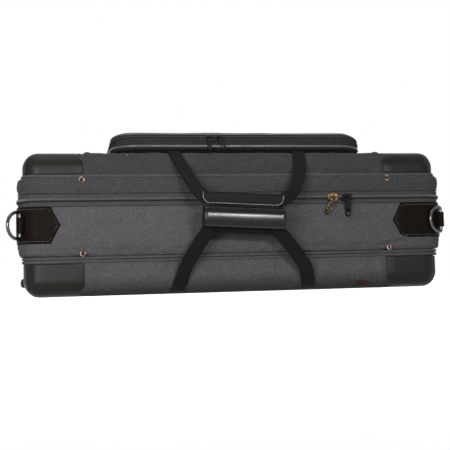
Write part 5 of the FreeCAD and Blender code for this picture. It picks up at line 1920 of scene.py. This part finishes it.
class CASE_OT_trims(CaseOperator, bpy.types.Operator):
    """Make the small leather loop at the front lower edge"""

    bl_idname = "case.trims"
    bl_label = "Trims"

    def execute(self, context):
        low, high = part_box("front_loop_tab")
        x = (low[0] + high[0]) / 2
        a = math.radians(58)
        out = Vector((0, -math.sin(a), -math.cos(a)))
        points = []
        for along in spread(-8 * MM, 8 * MM, 1.0 * MM):
            lean = Vector((0, 0, -0.22 * along))
            bow = 1.2 * MM * (1 - (along / (8 * MM)) ** 2)
            points.append(Vector((x + along, EDGE_Y, SHELL_ROUND)) + lean + out * (SHELL_ROUND + GAP + 1.2 * MM + bow))
        grid = strap_grid(points, [out] * len(points), 6 * MM, 2.0 * MM)
        put_grid("front_leather_tab", grid, "tray", "tab_leather", False, True, True,
                 slot="patch_leather", stands_for=("front_loop_tab",))
        return {"FINISHED"}


class CASE_OT_stage(CaseOperator, bpy.types.Operator):
    """Set the floor, the lamps, the white surround and the camera"""

    bl_idname = "case.stage"
    bl_label = "Stage"

    camera_place = (-0.2182, -1.2447, 0.0191)
    camera_yaw = 10.24
    camera_pitch = 3.56
    camera_roll = -1.57
    focal = 849.1

    def execute(self, context):
        scene = context.scene
        scene.view_settings.view_transform = "Standard"
        self.floor()
        self.surround(scene)
        self.lamps()
        self.camera(scene)
        return {"FINISHED"}

    def floor(self):
        mesh = bpy.data.meshes.new("floor")
        far = 3.0
        mesh.from_pydata([(-far, -far, 0), (far, -far, 0), (far, far, 0), (-far, far, 0)], [], [(0, 1, 2, 3)])
        obj = bpy.data.objects.new("floor", mesh)
        bpy.context.scene.collection.objects.link(obj)
        finish = Finish("pale floor")
        fade = finish.noise(2.0, 2.0)
        plain = finish.shade((0.35, 0.35, 0.35), 0.98 + fade * 0.04)
        colour = finish.shade((0.86, 0.86, 0.86), 0.98 + fade * 0.04)
        mesh.materials.append(finish.surface(colour=plain, rough=0.9, specular=0.0))
        bright = finish.node("BsdfPrincipled", None, {"Base Color": colour, "Roughness": 0.9,
                                                      "Specular IOR Level": 0.0,
                                                      "Emission Color": (1, 1, 1, 1),
                                                      "Emission Strength": 0.95})
        seen = self.seen_white(finish.tree)
        mix = finish.tree.nodes.new("ShaderNodeMixShader")
        finish.tree.links.new(seen, mix.inputs[0])
        finish.tree.links.new(finish.shader.outputs[0], mix.inputs[1])
        finish.tree.links.new(bright.outputs[0], mix.inputs[2])
        finish.tree.links.new(mix.outputs[0], finish.tree.nodes["Material Output"].inputs[0])

    def seen_white(self, tree):
        """Socket that is 1 for camera, glossy and transmission rays."""
        path = tree.nodes.new("ShaderNodeLightPath")
        socket = path.outputs["Is Camera Ray"]
        for ray in ("Is Glossy Ray", "Is Transmission Ray"):
            either = tree.nodes.new("ShaderNodeMath")
            either.operation = "MAXIMUM"
            tree.links.new(socket, either.inputs[0])
            tree.links.new(path.outputs[ray], either.inputs[1])
            socket = either.outputs[0]
        return socket

    def surround(self, scene):
        world = bpy.data.worlds.new("studio")
        scene.world = world
        world.use_nodes = True
        tree = world.node_tree
        tree.nodes.clear()
        out = tree.nodes.new("ShaderNodeOutputWorld")
        mix = tree.nodes.new("ShaderNodeMixShader")
        dim = tree.nodes.new("ShaderNodeBackground")
        white = tree.nodes.new("ShaderNodeBackground")
        dim.inputs["Color"].default_value = (0.15, 0.15, 0.155, 1)
        white.inputs["Color"].default_value = (1, 1, 1, 1)
        tree.links.new(self.seen_white(tree), mix.inputs[0])
        tree.links.new(dim.outputs[0], mix.inputs[1])
        tree.links.new(white.outputs[0], mix.inputs[2])
        tree.links.new(mix.outputs[0], out.inputs[0])

    def lamps(self):
        for name, place, target, wide, tall, power in (
                ("key", (-0.55, -1.05, 0.15), (-0.25, -0.15, 0.06), 0.48, 0.42, 10.2),
                ("strip", (0.25, -1.55, 0.33), (-0.5, -0.2, 0.1), 0.32, 0.12, 11.0),
                ("top", (-0.4, -0.3, 1.6), (-0.1, 0, 0.1), 1.0, 1.0, 7.0),
                ("back", (0.3, 1.7, 1.0), (0, 0, 0.1), 1.0, 1.0, 10.0)):
            lamp = bpy.data.lights.new(name, "AREA")
            lamp.shape = "RECTANGLE"
            lamp.size = wide
            lamp.size_y = tall
            lamp.energy = power
            obj = bpy.data.objects.new(name, lamp)
            bpy.context.scene.collection.objects.link(obj)
            obj.location = place
            obj.rotation_mode = "QUATERNION"
            obj.rotation_quaternion = (Vector(place) - Vector(target)).to_track_quat("Z", "Y")

    def camera(self, scene):
        data = bpy.data.cameras.new("camera")
        data.sensor_width = 36.0
        data.lens = 36.0 * self.focal / 450
        cam = bpy.data.objects.new("camera", data)
        scene.collection.objects.link(cam)
        cam.location = self.camera_place
        turn = Matrix.Rotation(math.radians(-self.camera_yaw), 3, "Z")
        turn = turn @ Matrix.Rotation(math.radians(90 + self.camera_pitch), 3, "X")
        turn = turn @ Matrix.Rotation(math.radians(self.camera_roll), 3, "Z")
        cam.rotation_mode = "QUATERNION"
        cam.rotation_quaternion = turn.to_quaternion()
        scene.camera = cam


STEPS = (CASE_OT_finishes, CASE_OT_shells, CASE_OT_bands, CASE_OT_seams, CASE_OT_guards,
         CASE_OT_zip, CASE_OT_patches, CASE_OT_handle, CASE_OT_pocket, CASE_OT_inside,
         CASE_OT_trims, CASE_OT_stage)


class CASE_PT_panel(bpy.types.Panel):
    """Lists the steps that dress the case"""

    bl_idname = "CASE_PT_panel"
    bl_label = "Trumpet Case"
    bl_space_type = "VIEW_3D"
    bl_region_type = "UI"
    bl_category = "Case"

    def draw(self, context):
        layout = self.layout
        for step in STEPS:
            layout.operator(step.bl_idname)
        for group in (context.scene.case_sizes, context.scene.case_colours):
            for name in group.__annotations__:
                layout.prop(group, name)


CLASSES = (CaseSizes, CaseColours, *STEPS, CASE_PT_panel)


def register():
    for each in CLASSES:
        bpy.utils.register_class(each)
    bpy.types.Scene.case_sizes = bpy.props.PointerProperty(type=CaseSizes)
    bpy.types.Scene.case_colours = bpy.props.PointerProperty(type=CaseColours)


def unregister():
    del bpy.types.Scene.case_colours
    del bpy.types.Scene.case_sizes
    for each in reversed(CLASSES):
        bpy.utils.unregister_class(each)


def main():
    register()
    for step in STEPS:
        group, name = step.bl_idname.split(".")
        getattr(getattr(bpy.ops, group), name)()


if __name__ == "__main__":
    main()
